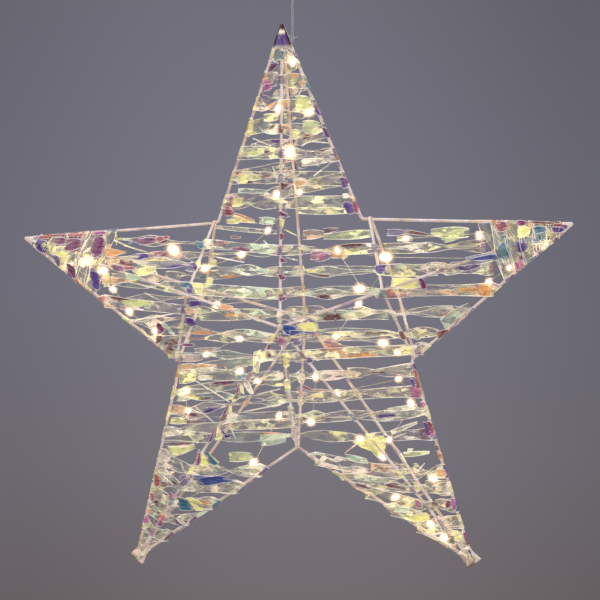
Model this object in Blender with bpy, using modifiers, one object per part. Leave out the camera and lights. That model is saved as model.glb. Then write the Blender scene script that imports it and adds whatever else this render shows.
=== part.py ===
"""A light-up Christmas star: a welded wire frame, wound with clear film ribbon and a
string of small lights, that hangs on a thin clear line and turns on it."""

from math import acos, atan2, ceil, cos, floor, pi, radians, sin, sqrt, tan, tau

import bmesh
import bpy
from mathutils import Matrix, Vector

MM = 0.001

# Driving sizes of the frame: the star lies in the XZ plane, its front faces -Y
ARMS = 5
TIP_RADIUS = 300 * MM
NOTCH_RADIUS = 127.2 * MM
HALF_DEPTH = 52.2 * MM
WIRE_RADIUS = 1.5 * MM
CORNER_BEND_RADIUS = 5 * MM
SEAT_GAP = 0.3 * MM

# Welds
HUB_WELD_RADIUS = 3.6 * MM
HUB_WELD_HALF_THICKNESS = 2.4 * MM
TIP_WELD_LENGTH = 10 * MM
TIP_WELD_ROUNDING = 0.5 * MM
HUB_PASS_RADIUS = 10 * MM
VALLEY_START = 6.2 * MM

# Base ribs of the left and right arms
RIB_BEYOND_BASE = 3.1 * MM
RIB_SEATS = {"left": 4 * MM, "right": 9 * MM}
RIB_LOWER_SEAT = 3.5 * MM
RIB_OVERHANGS = {"upper": 2.5 * MM, "lower": 0.5 * MM}

# Film ribbon
FILM_WIDTH = 12 * MM
FILM_THICKNESS = 0.3 * MM
FILM_GATHERED_WIDTH = 8 * MM
FILM_SPAN_WIDTH = 11 * MM
FILM_TWIST_WIDTH = 4 * MM
FILM_SPAN_TILT = radians(16)
LEAST_FORM_GAP = 0.4 * MM
SELF_GAP_WIDTHS_SHARE = 3.5
EVEN_DROP_SHARES = (0.25, 0.25, 0.25, 0.25)
TOP_DROP_SHARES = (0.1, 0.1, 0.4, 0.4)
UPPER_DROP_SHARES = (0.7, 0.1, 0.1, 0.1)
LOWER_DROP_SHARES = (0, 0, 0.5, 0.5)
SHORT_SPAN = 25 * MM
STEEP_SHARE = 0.5
SHALLOW_SHARE = 0.6
SHALLOW_LIFT = 7 * MM
LEAST_REACH_SHARE = 0.02
CROSSING_STEPS = 4

# Windings: the turns, and how far the first and last keep from a tip or an inner corner
TOP_TURNS = 6.5
TOP_FIRST_GAP = 29 * MM
TOP_LAST_GAP = 8.85 * MM
TIP_FIRST_GAPS = {"left": 18 * MM, "right": 17 * MM}
TIP_WRAPPED_LENGTHS = {"left": 73 * MM, "right": 67 * MM}
TIP_PITCH = 13.2 * MM
UPPER_BODY_TURNS = 5
LOWER_BODY_TURNS = 4.5
BODY_TOP_GAP = 13.4 * MM
BODY_MIDDLE_GAP = 11 * MM
BODY_SIDE_GAP = 11.3 * MM
BODY_BOTTOM_GAP = 3.35 * MM
BODY_END_GAP = 1.2 * MM
LOWER_TURNS = 5
LOWER_FIRST_GAP = 10.8 * MM
LOWER_LAST_GAP = 19.7 * MM

# Film caps on three tips
TOP_CAP_LENGTH = 14.5 * MM
POUCH_LENGTH = 12 * MM
POUCH_OVERHANG = 3 * MM
POUCH_TIP_HALF_WIDTH = 9 * MM
POUCH_TIP_HALF_DEPTH = 2.6 * MM

# String of lights
LED_WIRE_RADIUS = 0.4 * MM
LED_RADIUS = 1.3 * MM
LED_HALF_LENGTH = 2.2 * MM
LED_INSET = 3.5 * MM

# Hanging line
LINE_RADIUS = 0.4 * MM
LINE_DROP = 80 * MM
KNOT_RADIUS = 1.3 * MM
LINE_STEP = 2.4 * MM
NOOSE_BELOW_TIP = 18 * MM
NOOSE_MOUTH = radians(14)
KNOT_TAILS = ((-1.5 * MM, -4.5 * MM, 5 * MM), (6 * MM, -1 * MM, 4.5 * MM))

# Facets
WIRE_SIDES_RESOLUTION = 3
CORNER_STEPS = 4
ROUND_SEGMENTS = 16
RING_SEGMENTS = 20
TUBE_SEGMENTS = 8
WELD_DISTANCE = 0.001 * MM

DOWN = Vector((0, 0, -1))
RIGHT = Vector((1, 0, 0))
FRONT, EDGE, BACK = -1, 0, 1
SIDE_WORDS = {FRONT: "front", BACK: "back"}
ARM_NAMES = ("top", "right", "lower_right", "lower_left", "left")
# Names of each arm's two outline wires, against and along the clock
OUTLINE_NAMES = (
    ("top_left", "top_right"),
    ("right_upper", "right_lower"),
    ("lower_right_outer", "lower_right_inner"),
    ("lower_left_inner", "lower_left_outer"),
    ("left_lower", "left_upper"),
)


def arm_axis(turn):
    """Unit vector in the star's plane, a share of a turn clockwise from straight up."""
    return Vector((sin(tau * turn), 0, cos(tau * turn)))


AXES = [arm_axis(arm / ARMS) for arm in range(ARMS)]
TIPS = [axis * TIP_RADIUS for axis in AXES]
NOTCHES = [arm_axis((arm + 0.5) / ARMS) * NOTCH_RADIUS for arm in range(ARMS)]
HUBS = {side: Vector((0, side * HALF_DEPTH, 0)) for side in (FRONT, BACK)}
NOTCH_ACROSS = NOTCH_RADIUS * sin(pi / ARMS)
NOTCH_ALONG = NOTCH_RADIUS * cos(pi / ARMS)
RIB_STATION = NOTCH_ALONG + RIB_BEYOND_BASE
OUTLINE_SLOPE = atan2(NOTCH_ACROSS, TIP_RADIUS - NOTCH_ALONG)
RIDGE_SLOPE = atan2(HALF_DEPTH, TIP_RADIUS)
WIRE_PITCH = 2 * WIRE_RADIUS + SEAT_GAP


def new_collection(name):
    collection = bpy.data.collections.new(name)
    bpy.context.scene.collection.children.link(collection)
    return collection


def new_material(name, colour, roughness, metallic=0.0, alpha=1.0):
    material = bpy.data.materials.new(name)
    material.use_nodes = True
    shader = material.node_tree.nodes["Principled BSDF"]
    shader.inputs["Base Color"].default_value = (*colour, 1)
    shader.inputs["Roughness"].default_value = roughness
    shader.inputs["Metallic"].default_value = metallic
    shader.inputs["Alpha"].default_value = alpha
    material.diffuse_color = (*colour, alpha)
    return material


def add_object(name, data, material, parent, collection):
    obj = bpy.data.objects.new(name, data)
    data.materials.append(material)
    obj.parent = parent
    collection.objects.link(obj)
    return obj


def add_tube(name, points, radius, material, parent, collection, resolution, swell=None):
    """A closed tube along the points; swell gives each point's share of the radius."""
    curve = bpy.data.curves.new(name, "CURVE")
    curve.dimensions = "3D"
    curve.bevel_depth = radius
    curve.bevel_resolution = resolution
    curve.use_fill_caps = True
    spline = curve.splines.new("POLY")
    spline.points.add(len(points) - 1)
    for index, (point, place) in enumerate(zip(spline.points, points)):
        point.co = (*place, 1)
        point.radius = swell[index] if swell else 1
    spline.use_smooth = True
    return add_object(name, curve, material, parent, collection)


def mesh_from(name, shape):
    mesh = bpy.data.meshes.new(name)
    shape.to_mesh(mesh)
    shape.free()
    return mesh


def surface_depth(x, z):
    """How far the front or back skin of the star stands from its middle plane."""
    turn = atan2(x, z) % (tau / ARMS)
    turn = min(turn, tau / ARMS - turn)
    reach = sqrt(x * x + z * z)
    along, across = reach * cos(turn), reach * sin(turn)
    spread = (TIP_RADIUS - along) * NOTCH_ACROSS - across * (TIP_RADIUS - NOTCH_ALONG)
    return HALF_DEPTH * spread / (TIP_RADIUS * NOTCH_ACROSS)


# Frame wires

class Wire:
    """A frame wire's centre line, kept so that the film and the lights can follow it."""

    def __init__(self, name, points, side):
        self.name, self.points, self.side = name, points, side

    def crossing(self, along, station):
        """The point and direction where the wire meets the plane along . p = station."""
        for start, end in zip(self.points, self.points[1:]):
            low, high = start.dot(along), end.dot(along)
            if min(low, high) <= station <= max(low, high) and low != high:
                share = (station - low) / (high - low)
                return start.lerp(end, share), (end - start).normalized()
        return None


def outline_points(arm, side):
    """From the tip weld down one side of an arm, and half way round the inner corner."""
    notch = NOTCHES[arm - 1] if side < 0 else NOTCHES[arm]
    other_tip = TIPS[arm - 1] if side < 0 else TIPS[(arm + 1) % ARMS]
    to_tip = (TIPS[arm] - notch).normalized()
    outward = (to_tip + (other_tip - notch).normalized()).normalized()
    half_angle = acos(to_tip.dot(outward))
    centre = notch + outward * (CORNER_BEND_RADIUS / sin(half_angle))
    first = notch + to_tip * (CORNER_BEND_RADIUS / tan(half_angle)) - centre
    last = -outward * CORNER_BEND_RADIUS
    sweep = first.angle(last) - SEAT_GAP / 2 / CORNER_BEND_RADIUS
    axis = first.cross(last).normalized()
    bend = [
        centre + Matrix.Rotation(sweep * step / CORNER_STEPS, 3, axis) @ first
        for step in range(CORNER_STEPS + 1)
    ]
    clear = TIP_WELD_LENGTH + SEAT_GAP + WIRE_RADIUS * sin(OUTLINE_SLOPE)
    return [TIPS[arm] - to_tip * (clear / cos(OUTLINE_SLOPE))] + bend


def ridge_points(arm, side):
    hub_clear = HUB_WELD_RADIUS + SEAT_GAP
    tip_clear = TIP_WELD_LENGTH + SEAT_GAP + WIRE_RADIUS * sin(RIDGE_SLOPE)
    way = TIPS[arm] - HUBS[side]
    return [HUBS[side] + way.normalized() * hub_clear, TIPS[arm] - way * (tip_clear / TIP_RADIUS)]


def valley_points(side):
    """Hub to the bottom inner corner, where the wire lies against the outline's bend."""
    bottom = NOTCHES[2]
    slope = atan2(HALF_DEPTH, NOTCH_RADIUS)
    seat = bottom + Vector((0, side * WIRE_PITCH / cos(slope), 0))
    return [HUBS[side] + (bottom - HUBS[side]).normalized() * VALLEY_START, seat]


def rib_points(arm, side, end):
    """One leg of a base rib, from past the outline wire up to the ridge wire's flank."""
    upper = end == "upper"
    left = ARM_NAMES[arm] == "left"
    notch = NOTCHES[arm] if left == upper else NOTCHES[arm - 1]
    to_tip = (TIPS[arm] - notch).normalized()
    seat_along = RIB_SEATS[ARM_NAMES[arm]] if upper else RIB_LOWER_SEAT
    ridge_spot = HUBS[side].lerp(TIPS[arm], RIB_STATION / TIP_RADIUS)
    ridge_way = (TIPS[arm] - HUBS[side]).normalized()
    seat = notch + to_tip * seat_along
    lean = atan2(abs(ridge_spot.y), (ridge_spot - seat).xz.length)
    seat.y = side * WIRE_PITCH / cos(lean)
    leg = (seat - ridge_spot).normalized()
    flank = WIRE_RADIUS + SEAT_GAP + WIRE_RADIUS * abs(leg.dot(ridge_way))
    return [seat + leg * RIB_OVERHANGS[end], ridge_spot + leg * flank]


def frame_wires():
    wires = []
    for arm in range(ARMS):
        for side, name in zip((-1, 1), OUTLINE_NAMES[arm]):
            wires.append(Wire(f"outline_{name}", outline_points(arm, side), EDGE))
    for side in (FRONT, BACK):
        word = SIDE_WORDS[side]
        for arm in range(ARMS):
            wires.append(Wire(f"{word}_ridge_{ARM_NAMES[arm]}", ridge_points(arm, side), side))
        wires.append(Wire(f"{word}_valley_wire", valley_points(side), side))
        for name in RIB_SEATS:
            for end in ("upper", "lower"):
                points = rib_points(ARM_NAMES.index(name), side, end)
                wires.append(Wire(f"{word}_rib_{name}_{end}", points, side))
    return wires


def add_hub_weld(side, material, parent, collection):
    name = f"{SIDE_WORDS[side]}_hub_weld"
    shape = bmesh.new()
    bmesh.ops.create_uvsphere(shape, u_segments=ROUND_SEGMENTS, v_segments=TUBE_SEGMENTS, radius=1)
    bmesh.ops.scale(
        shape,
        vec=(HUB_WELD_RADIUS, HUB_WELD_RADIUS, HUB_WELD_HALF_THICKNESS),
        verts=shape.verts,
    )
    bmesh.ops.rotate(shape, matrix=Matrix.Rotation(pi / 2, 3, "X"), verts=shape.verts)
    mesh = mesh_from(name, shape)
    mesh.shade_smooth()
    add_object(name, mesh, material, parent, collection).location = HUBS[side]


def tip_half_sizes(from_tip):
    """Half width and half depth of the four wires together, this far short of a tip."""
    return (
        from_tip * tan(OUTLINE_SLOPE) + WIRE_RADIUS / cos(OUTLINE_SLOPE),
        from_tip * tan(RIDGE_SLOPE) + WIRE_RADIUS / cos(RIDGE_SLOPE),
    )


def tapered_drum(arm, inner, outer, inner_half, outer_half, cap_ends):
    """A round drum on an arm's axis whose two ends have their own half width and depth."""
    shape = bmesh.new()
    bmesh.ops.create_cone(
        shape, cap_ends=cap_ends, segments=ROUND_SEGMENTS, radius1=1, radius2=1, depth=1
    )
    across = Vector((0, 1, 0)).cross(AXES[arm])
    for vertex in shape.verts:
        x, y, z = vertex.co
        half, place = (outer_half, outer) if z > 0 else (inner_half, inner)
        vertex.co = AXES[arm] * place + across * (x * half[0]) + Vector((0, y * half[1], 0))
    return shape


def add_tip_weld(arm, material, parent, collection):
    name = f"tip_weld_{ARM_NAMES[arm]}"
    inner = TIP_RADIUS - TIP_WELD_LENGTH
    shape = tapered_drum(
        arm, inner, TIP_RADIUS, tip_half_sizes(TIP_WELD_LENGTH), tip_half_sizes(0), True
    )
    obj = add_object(name, mesh_from(name, shape), material, parent, collection)
    bevel = obj.modifiers.new("rounding", "BEVEL")
    bevel.width = TIP_WELD_ROUNDING
    bevel.segments = 2
    bevel.limit_method = "ANGLE"


# Film ribbon

class Crossing:
    """Where the ribbon meets a wire: the place, the wire's direction and the way out."""

    def __init__(self, place, along, outward, turn=0, open_depth=None):
        self.place, self.along, self.outward = place, along, outward
        # turn is -1 at a row's left end, +1 at its right end and 0 on the way across
        self.turn, self.open_depth = turn, open_depth


def square_to(direction, axis):
    return (direction - axis * direction.dot(axis)).normalized()


def share_of_pitch(turn_share, quarters):
    """How much of the pitch is used up after this share of a turn."""
    quarter = min(int(turn_share * 4), 3)
    return sum(quarters[:quarter]) + quarters[quarter] * (turn_share * 4 - quarter)


def tip_turns(name):
    """Whole and half turns of the close wraps on an arm's tip."""
    return floor(2 * TIP_WRAPPED_LENGTHS[name] / TIP_PITCH) / 2


def arm_row_end(wires, along, across, station, turn):
    """The outline wire at one end of a row."""
    found = [wire.crossing(along, station) for wire in wires if wire.side == EDGE]
    found = [item for item in found if item]
    place, direction = max(found, key=lambda item: item[0].dot(across) * turn)
    direction = direction if direction.dot(along) > 0 else -direction
    return Crossing(place, direction, square_to(across * turn, direction), turn)


def body_row_end(wires, along, across, station, turn):
    """As above, but high rows turn back in the open, beside the last wrap of the arm's tip."""
    name = "left" if turn < 0 else "right"
    axis = AXES[ARM_NAMES.index(name)]
    last_wrap = TIP_FIRST_GAPS[name] + tip_turns(name) * TIP_PITCH + FILM_WIDTH / 2
    reach = TIP_RADIUS - last_wrap - BODY_END_GAP
    place = Vector(((reach + station * axis.z) / axis.x, 0, -station))
    depth = surface_depth(place.x, place.z)
    if depth > WIRE_PITCH:
        return Crossing(place, along.copy(), across * turn, turn, depth)
    return arm_row_end(wires, along, across, station, turn)


def crossings_of_turn(wires, along, across, station, pitch, quarters, row_end):
    """One turn of the ribbon: (share of the turn, crossing), from the left end round."""
    ends = {
        share: row_end(wires, along, across, station + pitch * share_of_pitch(share, quarters), turn)
        for share, turn in ((0.0, -1), (0.5, 1))
    }
    low, high = (ends[share].place.dot(across) for share in (0.0, 0.5))
    found = list(ends.items())
    for wire in wires:
        share, hit = 0.25, None
        for _ in range(CROSSING_STEPS if wire.side != EDGE else 0):
            hit = wire.crossing(along, station + pitch * share_of_pitch(share, quarters))
            if not hit:
                break
            reach = (hit[0].dot(across) - low) / (high - low)
            share = reach / 2 if wire.side == FRONT else 1 - reach / 2
            if not LEAST_REACH_SHARE < reach < 1 - LEAST_REACH_SHARE:
                hit = None
                break
        if not hit:
            continue
        place, direction = hit[0], hit[1] if hit[1].dot(along) > 0 else -hit[1]
        outward = square_to(Vector((0, wire.side, 0)), direction)
        found.append((share, Crossing(place, direction, outward)))
    return pass_over_hubs(sorted(found, key=lambda item: item[0]), along)


def pass_over_hubs(found, along):
    """Near a hub the ribbon lies over the weld, once, and not over each wire that starts there."""
    kept = []
    for share, crossing in found:
        side = FRONT if crossing.place.y < 0 else BACK
        if crossing.turn or (crossing.place - HUBS[side]).xz.length > HUB_PASS_RADIUS:
            kept.append((share, crossing))
        elif not kept or kept[-1][1].place.x != 0 or kept[-1][1].turn:
            depth = HALF_DEPTH + HUB_WELD_HALF_THICKNESS - WIRE_RADIUS
            place = Vector((0, side * depth, crossing.place.z))
            outward = Vector((0, side, 0))
            kept.append((share, Crossing(place, along.copy(), outward)))
    return kept


def stations_at(crossing):
    """The ribbon's places at a crossing: one on a wire, three round a row's end."""
    lift = WIRE_RADIUS + SEAT_GAP + FILM_THICKNESS / 2
    if not crossing.turn:
        return [crossing.place + crossing.outward * (lift / cos(FILM_SPAN_TILT))]
    places = []
    for step in (-1, 0, 1):
        deep = Vector((0, crossing.turn * step, 0))
        if crossing.open_depth:
            inward = crossing.outward * (-abs(step) * crossing.open_depth / 2)
            places.append(crossing.place + deep * crossing.open_depth + inward)
        else:
            out = crossing.outward * cos(step * pi / 3) + deep * sin(pi / 3)
            places.append(crossing.place + out * (lift / cos(pi / 6)))
    return places


def raise_over_wires(crossings, anchors):
    """Lifts each place on a wire, so that the strip also clears the wire where it drops away."""
    raised = {}
    for serial, crossing in enumerate(crossings):
        if crossing.turn:
            continue
        drops = []
        for spot in (anchors[serial - 1][-1], anchors[serial + 1][0]):
            chord = spot - anchors[serial][0]
            fall = -chord.dot(crossing.outward)
            drops.append(atan2(fall, (chord + crossing.outward * fall).length))
        lift = (anchors[serial][0] - crossing.place) / cos(max(0, *drops))
        raised[serial] = [crossing.place + lift]
    for serial, places in raised.items():
        anchors[serial] = places


def span_stations(start, end, style, widths, serial):
    """Places between two wires, where the strip widens and tilts, or narrows and twists."""
    shares = (0.25, 0.5, 0.75) if style == "twist" else (0.5,)
    way = (end[0] - start[0]).normalized()
    middle = (start[1] + end[1]).normalized()
    stations = []
    for share in shares:
        if style == "twist":
            angle = pi * share
            width = widths[1] + (FILM_TWIST_WIDTH - widths[1]) * sin(angle)
        else:
            angle = FILM_SPAN_TILT * (-1) ** serial if style == "tilt" else 0
            width = widths[2]
        turned = Matrix.Rotation(angle, 3, way) @ middle
        stations.append((start[0].lerp(end[0], share), turned, width / 2))
    return stations


def winding_stations(wires, along, across, first, pitch, turns, quarters, row_end, style, widths):
    """Every (place, width direction, half width) of one unbroken ribbon."""
    crossings = []
    for turn in range(ceil(turns)):
        found = crossings_of_turn(
            wires, along, across, first + pitch * turn, pitch, quarters, row_end
        )
        crossings += [crossing for share, crossing in found if turn + share <= turns]
    if turns == int(turns):
        crossings.append(row_end(wires, along, across, first + pitch * turns, -1))
    anchors = [stations_at(crossing) for crossing in crossings]
    anchors[0] = anchors[0][1:]
    if crossings[-1].turn < 0:
        anchors[-1] = anchors[-1][:1]
    raise_over_wires(crossings, anchors)
    stations, facing = [], 1
    for serial, (crossing, places) in enumerate(zip(crossings, anchors)):
        half_width = widths[0 if crossing.turn else 1] / 2
        direction = crossing.along
        if not crossing.turn:
            way = square_to(anchors[serial + 1][0] - anchors[serial - 1][-1], crossing.outward)
            lies = square_to(crossing.along, way)
            spread = crossing.along.dot(lies)
            if spread > SHALLOW_SHARE:
                half_width /= spread
            else:
                direction = lies
                places = [places[0] + crossing.outward * SHALLOW_LIFT]
        if stations:
            start = stations[-1]
            room = (places[0] - start[0]).length
            steep = min(abs(crossing.along.z), abs(crossings[serial - 1].along.z)) > STEEP_SHARE
            here = style if room > SHORT_SPAN and (steep or style == "flat") else "flat"
            end = (places[0], direction * facing, half_width)
            stations += span_stations(start, end, here, widths, serial)
            if here == "twist":
                facing = -facing
        stations += [(place, direction * facing, half_width) for place in places]
    return stations


def least_gap(name, lines, thickness):
    """Prints the least distance between stretches of a form that are far apart along it."""
    least = None
    points, run = [], 0.0
    for start, end in zip(lines, lines[1:]):
        step = (end[0] - start[0]).length
        for share in (0, 0.25, 0.5, 0.75):
            spots = [a.lerp(b, share) for a, b in zip(start, end)]
            points.append((run + step * share, spots))
        run += step
    for index, (place, spots) in enumerate(points):
        for other_place, other_spots in points[index + 1:]:
            if other_place - place < SELF_GAP_WIDTHS_SHARE * FILM_WIDTH:
                continue
            for a in spots:
                for b in other_spots:
                    distance = (a - b).length - thickness
                    if least is None or distance < least:
                        least = distance
    print(f"{name}: least gap to itself {least / MM:.2f} mm, wanted over {LEAST_FORM_GAP / MM:.1f}")


def add_ribbon(name, stations, material, parent, collection):
    """An open strip through the stations, made solid by its thickness."""
    shape = bmesh.new()
    edges = []
    for place, direction, half in stations:
        edges.append([shape.verts.new(place + direction * (sign * half)) for sign in (1, -1)])
    for (a, b), (c, d) in zip(edges, edges[1:]):
        shape.faces.new((a, b, d, c))
    obj = add_object(name, mesh_from(name, shape), material, parent, collection)
    solid = obj.modifiers.new("thickness", "SOLIDIFY")
    solid.thickness = FILM_THICKNESS
    solid.offset = 0
    lines = [(place + way * half, place, place - way * half) for place, way, half in stations]
    least_gap(name, lines, FILM_THICKNESS)


def add_windings(wires, material, parent, collection):
    outlines = [wire for wire in wires if wire.side == EDGE]
    level = (DOWN, RIGHT)
    wide = (FILM_WIDTH, FILM_GATHERED_WIDTH, FILM_SPAN_WIDTH)
    for arm, arm_name in enumerate(ARM_NAMES):
        own = [
            wire for wire in wires
            if wire.name.endswith(f"ridge_{arm_name}")
            or wire.name.removeprefix("outline_") in OUTLINE_NAMES[arm]
        ]
        if arm_name == "top":
            first = TOP_FIRST_GAP - TIP_RADIUS
            pitch = (-NOTCHES[0].z - TOP_LAST_GAP - first) / TOP_TURNS
            plan = (*level, first, pitch, TOP_TURNS, TOP_DROP_SHARES)
            style, widths, name = "twist", wide, "film_top_arm"
        elif arm_name in TIP_FIRST_GAPS:
            first = TIP_FIRST_GAPS[arm_name] - TIP_RADIUS
            frame = (-AXES[arm], Vector((0, 1, 0)).cross(AXES[arm]))
            plan = (*frame, first, TIP_PITCH, tip_turns(arm_name), EVEN_DROP_SHARES)
            style, widths, name = "flat", (FILM_WIDTH,) * 3, f"film_{arm_name}_tip"
        else:
            first = NOTCH_RADIUS + LOWER_FIRST_GAP
            pitch = (-TIPS[arm].z - LOWER_LAST_GAP - first) / LOWER_TURNS
            plan = (*level, first, pitch, LOWER_TURNS, UPPER_DROP_SHARES)
            style, widths, name = "tilt", wide, f"film_{arm_name}_arm"
        stations = winding_stations(own, *plan, arm_row_end, style, widths)
        add_ribbon(name, stations, material, parent, collection)
    number = 0
    upper_first, lower_first = BODY_TOP_GAP - NOTCHES[0].z, -NOTCHES[1].z - BODY_SIDE_GAP
    for first, last, turns, shares in (
        (upper_first, lower_first - BODY_MIDDLE_GAP, UPPER_BODY_TURNS, UPPER_DROP_SHARES),
        (lower_first, NOTCH_RADIUS - BODY_BOTTOM_GAP, LOWER_BODY_TURNS, LOWER_DROP_SHARES),
    ):
        pitch = (last - first) / turns
        for ribbon_turns in (ceil(turns / 2), turns - ceil(turns / 2)):
            number += 1
            plan = (*level, first, pitch, ribbon_turns, shares, body_row_end)
            stations = winding_stations(wires, *plan, "tilt", wide)
            add_ribbon(f"film_body_{number}", stations, material, parent, collection)
            first += ribbon_turns * pitch


def add_film_cap(name, arm, inner, outer, inner_half, outer_half, material, parent, collection):
    """Film folded over a tip: closed outside, open towards the star."""
    shape = tapered_drum(arm, inner, outer, inner_half, outer_half, True)
    mouth = max(shape.faces, key=lambda face: -face.calc_center_median().dot(AXES[arm]))
    bmesh.ops.delete(shape, geom=[mouth], context="FACES_ONLY")
    obj = add_object(name, mesh_from(name, shape), material, parent, collection)
    solid = obj.modifiers.new("thickness", "SOLIDIFY")
    solid.thickness = FILM_THICKNESS
    solid.offset = 1


def add_film_caps(material, parent, collection):
    def round_wires(from_tip):
        return tuple(half + SEAT_GAP for half in tip_half_sizes(from_tip))

    add_film_cap(
        "film_cap_top", 0, TIP_RADIUS - TOP_CAP_LENGTH, TIP_RADIUS + SEAT_GAP,
        round_wires(TOP_CAP_LENGTH), round_wires(0), material, parent, collection,
    )
    for arm_name in ("lower_right", "lower_left"):
        add_film_cap(
            f"film_cap_{arm_name}", ARM_NAMES.index(arm_name),
            TIP_RADIUS - POUCH_LENGTH, TIP_RADIUS + POUCH_OVERHANG, round_wires(POUCH_LENGTH),
            (POUCH_TIP_HALF_WIDTH, POUCH_TIP_HALF_DEPTH), material, parent, collection,
        )


# String of lights: its way through the frame, a light at each place that is marked

LED_ROUTE = (
    (4, 276, EDGE, False), (9, 262, FRONT, True), (-4, 216, FRONT, True), (25, 211, EDGE, True),
    (7, 172, FRONT, True), (-6, 130, FRONT, True), (6, 131, BACK, True), (-28, 93, BACK, True),
    (-47, 71, FRONT, True), (-85, 58, FRONT, True), (-121, 77, FRONT, True),
    (-178, 60, FRONT, False), (-197, 57.5, FRONT, True), (-215, 68, FRONT, True), (-236, 63, EDGE, True),
    (-192, 37, BACK, True), (-174, 14, EDGE, True), (-145, -7, EDGE, True),
    (-69, 22, FRONT, True), (77, 35, FRONT, True), (52, 72, FRONT, True),
    (101, 65, FRONT, True), (180, 62, FRONT, False), (200.5, 62, FRONT, True), (252, 77, EDGE, True),
    (222, 51, EDGE, True), (201, 38, EDGE, True), (192, 83, BACK, True),
    (118, 82, BACK, True), (61, 15, BACK, True), (51, -12, FRONT, True),
    (95, -21, FRONT, True), (106, -32, BACK, True), (-63, -18, BACK, True),
    (-95, -32, BACK, True), (-23, -30, FRONT, True), (-49, -46, FRONT, True),
    (-49, -63, BACK, True), (-116, -69, EDGE, True), (-113, -90, FRONT, True),
    (-146, -180, FRONT, False), (-160, -214, EDGE, False), (-128, -186, BACK, False),
    (-47, -143, EDGE, True), (-22, -97, BACK, True), (18, -100, FRONT, True),
    (31, -51, FRONT, True), (37, -76, BACK, True), (106, -59, BACK, True),
    (119, -83, EDGE, True), (91, -123, BACK, True), (70, -116, FRONT, True),
    (92, -134, FRONT, True), (139, -159, EDGE, True), (100, -178, EDGE, True),
    (135, -205, EDGE, True), (149, -218, EDGE, True),
)


def side_place(x, z, side):
    depth = max(surface_depth(x, z) - LED_INSET, 0)
    return Vector((x, side * depth, z))


def crossed_wires(start, end, side, wires):
    """Places inside the wires that a straight stretch of the string passes under."""
    found = []
    for wire in wires:
        if wire.side != side:
            continue
        for a, b in zip(wire.points, wire.points[1:]):
            way, along = end - start, b - a
            cross = way.x * along.z - way.z * along.x
            if cross == 0:
                continue
            offset = a - start
            share = (offset.x * along.z - offset.z * along.x) / cross
            on_wire = (offset.x * way.z - offset.z * way.x) / cross
            if 0 < share < 1 and 0 <= on_wire <= 1:
                place = a.lerp(b, on_wire)
                lean = cos(atan2(abs(along.y), along.xz.length))
                place.y -= side * (WIRE_RADIUS + SEAT_GAP + LED_WIRE_RADIUS) / lean
                found.append((share, place))
    return [place for _, place in sorted(found, key=lambda item: item[0])]


def add_led_string(wires, material, parent, collection):
    """One thin wire that swells at each light, kept inside the frame and against its wires."""
    points, swell = [], []
    light_swell = LED_RADIUS / LED_WIRE_RADIUS
    route = [(side_place(x * MM, z * MM, side), side, light) for x, z, side, light in LED_ROUTE]
    for index, (place, side, light) in enumerate(route):
        if index:
            start, start_side, _ = route[index - 1]
            passed = side if start_side == EDGE else start_side
            if passed != EDGE and passed * side >= 0:
                for spot in crossed_wires(start, place, passed, wires):
                    straight = start.lerp(place, (spot - start).xz.length / (place - start).xz.length)
                    if abs(straight.y) > abs(spot.y) or side == start_side:
                        points.append(spot)
                        swell.append(1)
        if light:
            before = (place - points[-1]).normalized()
            points += [place - before * LED_HALF_LENGTH, place, place + before * LED_HALF_LENGTH]
            swell += [1, light_swell, 1]
        else:
            points.append(place)
            swell.append(1)
    add_tube("led_string", points, LED_WIRE_RADIUS, material, parent, collection, 0, swell)
    lines = [(point,) for point in points]
    least_gap("led_string", lines, 2 * LED_WIRE_RADIUS)


# Hanging line: up from the knot, round the loop that takes the hook, and down again

LINE_ROUTE = (
    (-0.7, -78.3), (-0.7, -66), (-0.7, -52), (-0.7, -38), (-0.8, -26), (-1.3, -17),
    (-2.7, -10), (-3.9, -5.6), (-3.5, -2.2), (-2.0, -0.5), (0, 0), (2.0, -0.5), (3.5, -2.2),
    (3.9, -5.6), (2.7, -10), (1.3, -17), (0.8, -26), (0.7, -38), (0.7, -52), (0.7, -66),
    (0.7, -78.3),
)


def smooth_route(points, step):
    """Points along a Catmull-Rom curve through the route's own points."""
    smooth = []
    for index in range(len(points) - 1):
        before, start, end = points[max(index - 1, 0)], points[index], points[index + 1]
        after = points[min(index + 2, len(points) - 1)]
        count = max(1, round((end - start).length / step))
        for number in range(count):
            t = number / count
            smooth.append(0.5 * (
                2 * start + (end - before) * t
                + (2 * before - 5 * start + 4 * end - after) * t * t
                + (3 * start - before - 3 * end + after) * t ** 3
            ))
    return smooth + [points[-1]]


def add_hanging_line(material, collection):
    points = smooth_route([Vector((x * MM, 0, z * MM)) for x, z in LINE_ROUTE], LINE_STEP)
    add_tube("hanging_line", points, LINE_RADIUS, material, None, collection, 2)


def knot_place():
    """The knot sits just outside the top arm's right outline wire."""
    wire_spot = Vector(
        (NOOSE_BELOW_TIP * tan(OUTLINE_SLOPE), 0, TIP_RADIUS - NOOSE_BELOW_TIP)
    )
    outward = Vector((cos(OUTLINE_SLOPE), 0, sin(OUTLINE_SLOPE)))
    ring = WIRE_RADIUS + SEAT_GAP + LINE_RADIUS
    return wire_spot, outward, ring, wire_spot + outward * (ring + KNOT_RADIUS)


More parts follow.
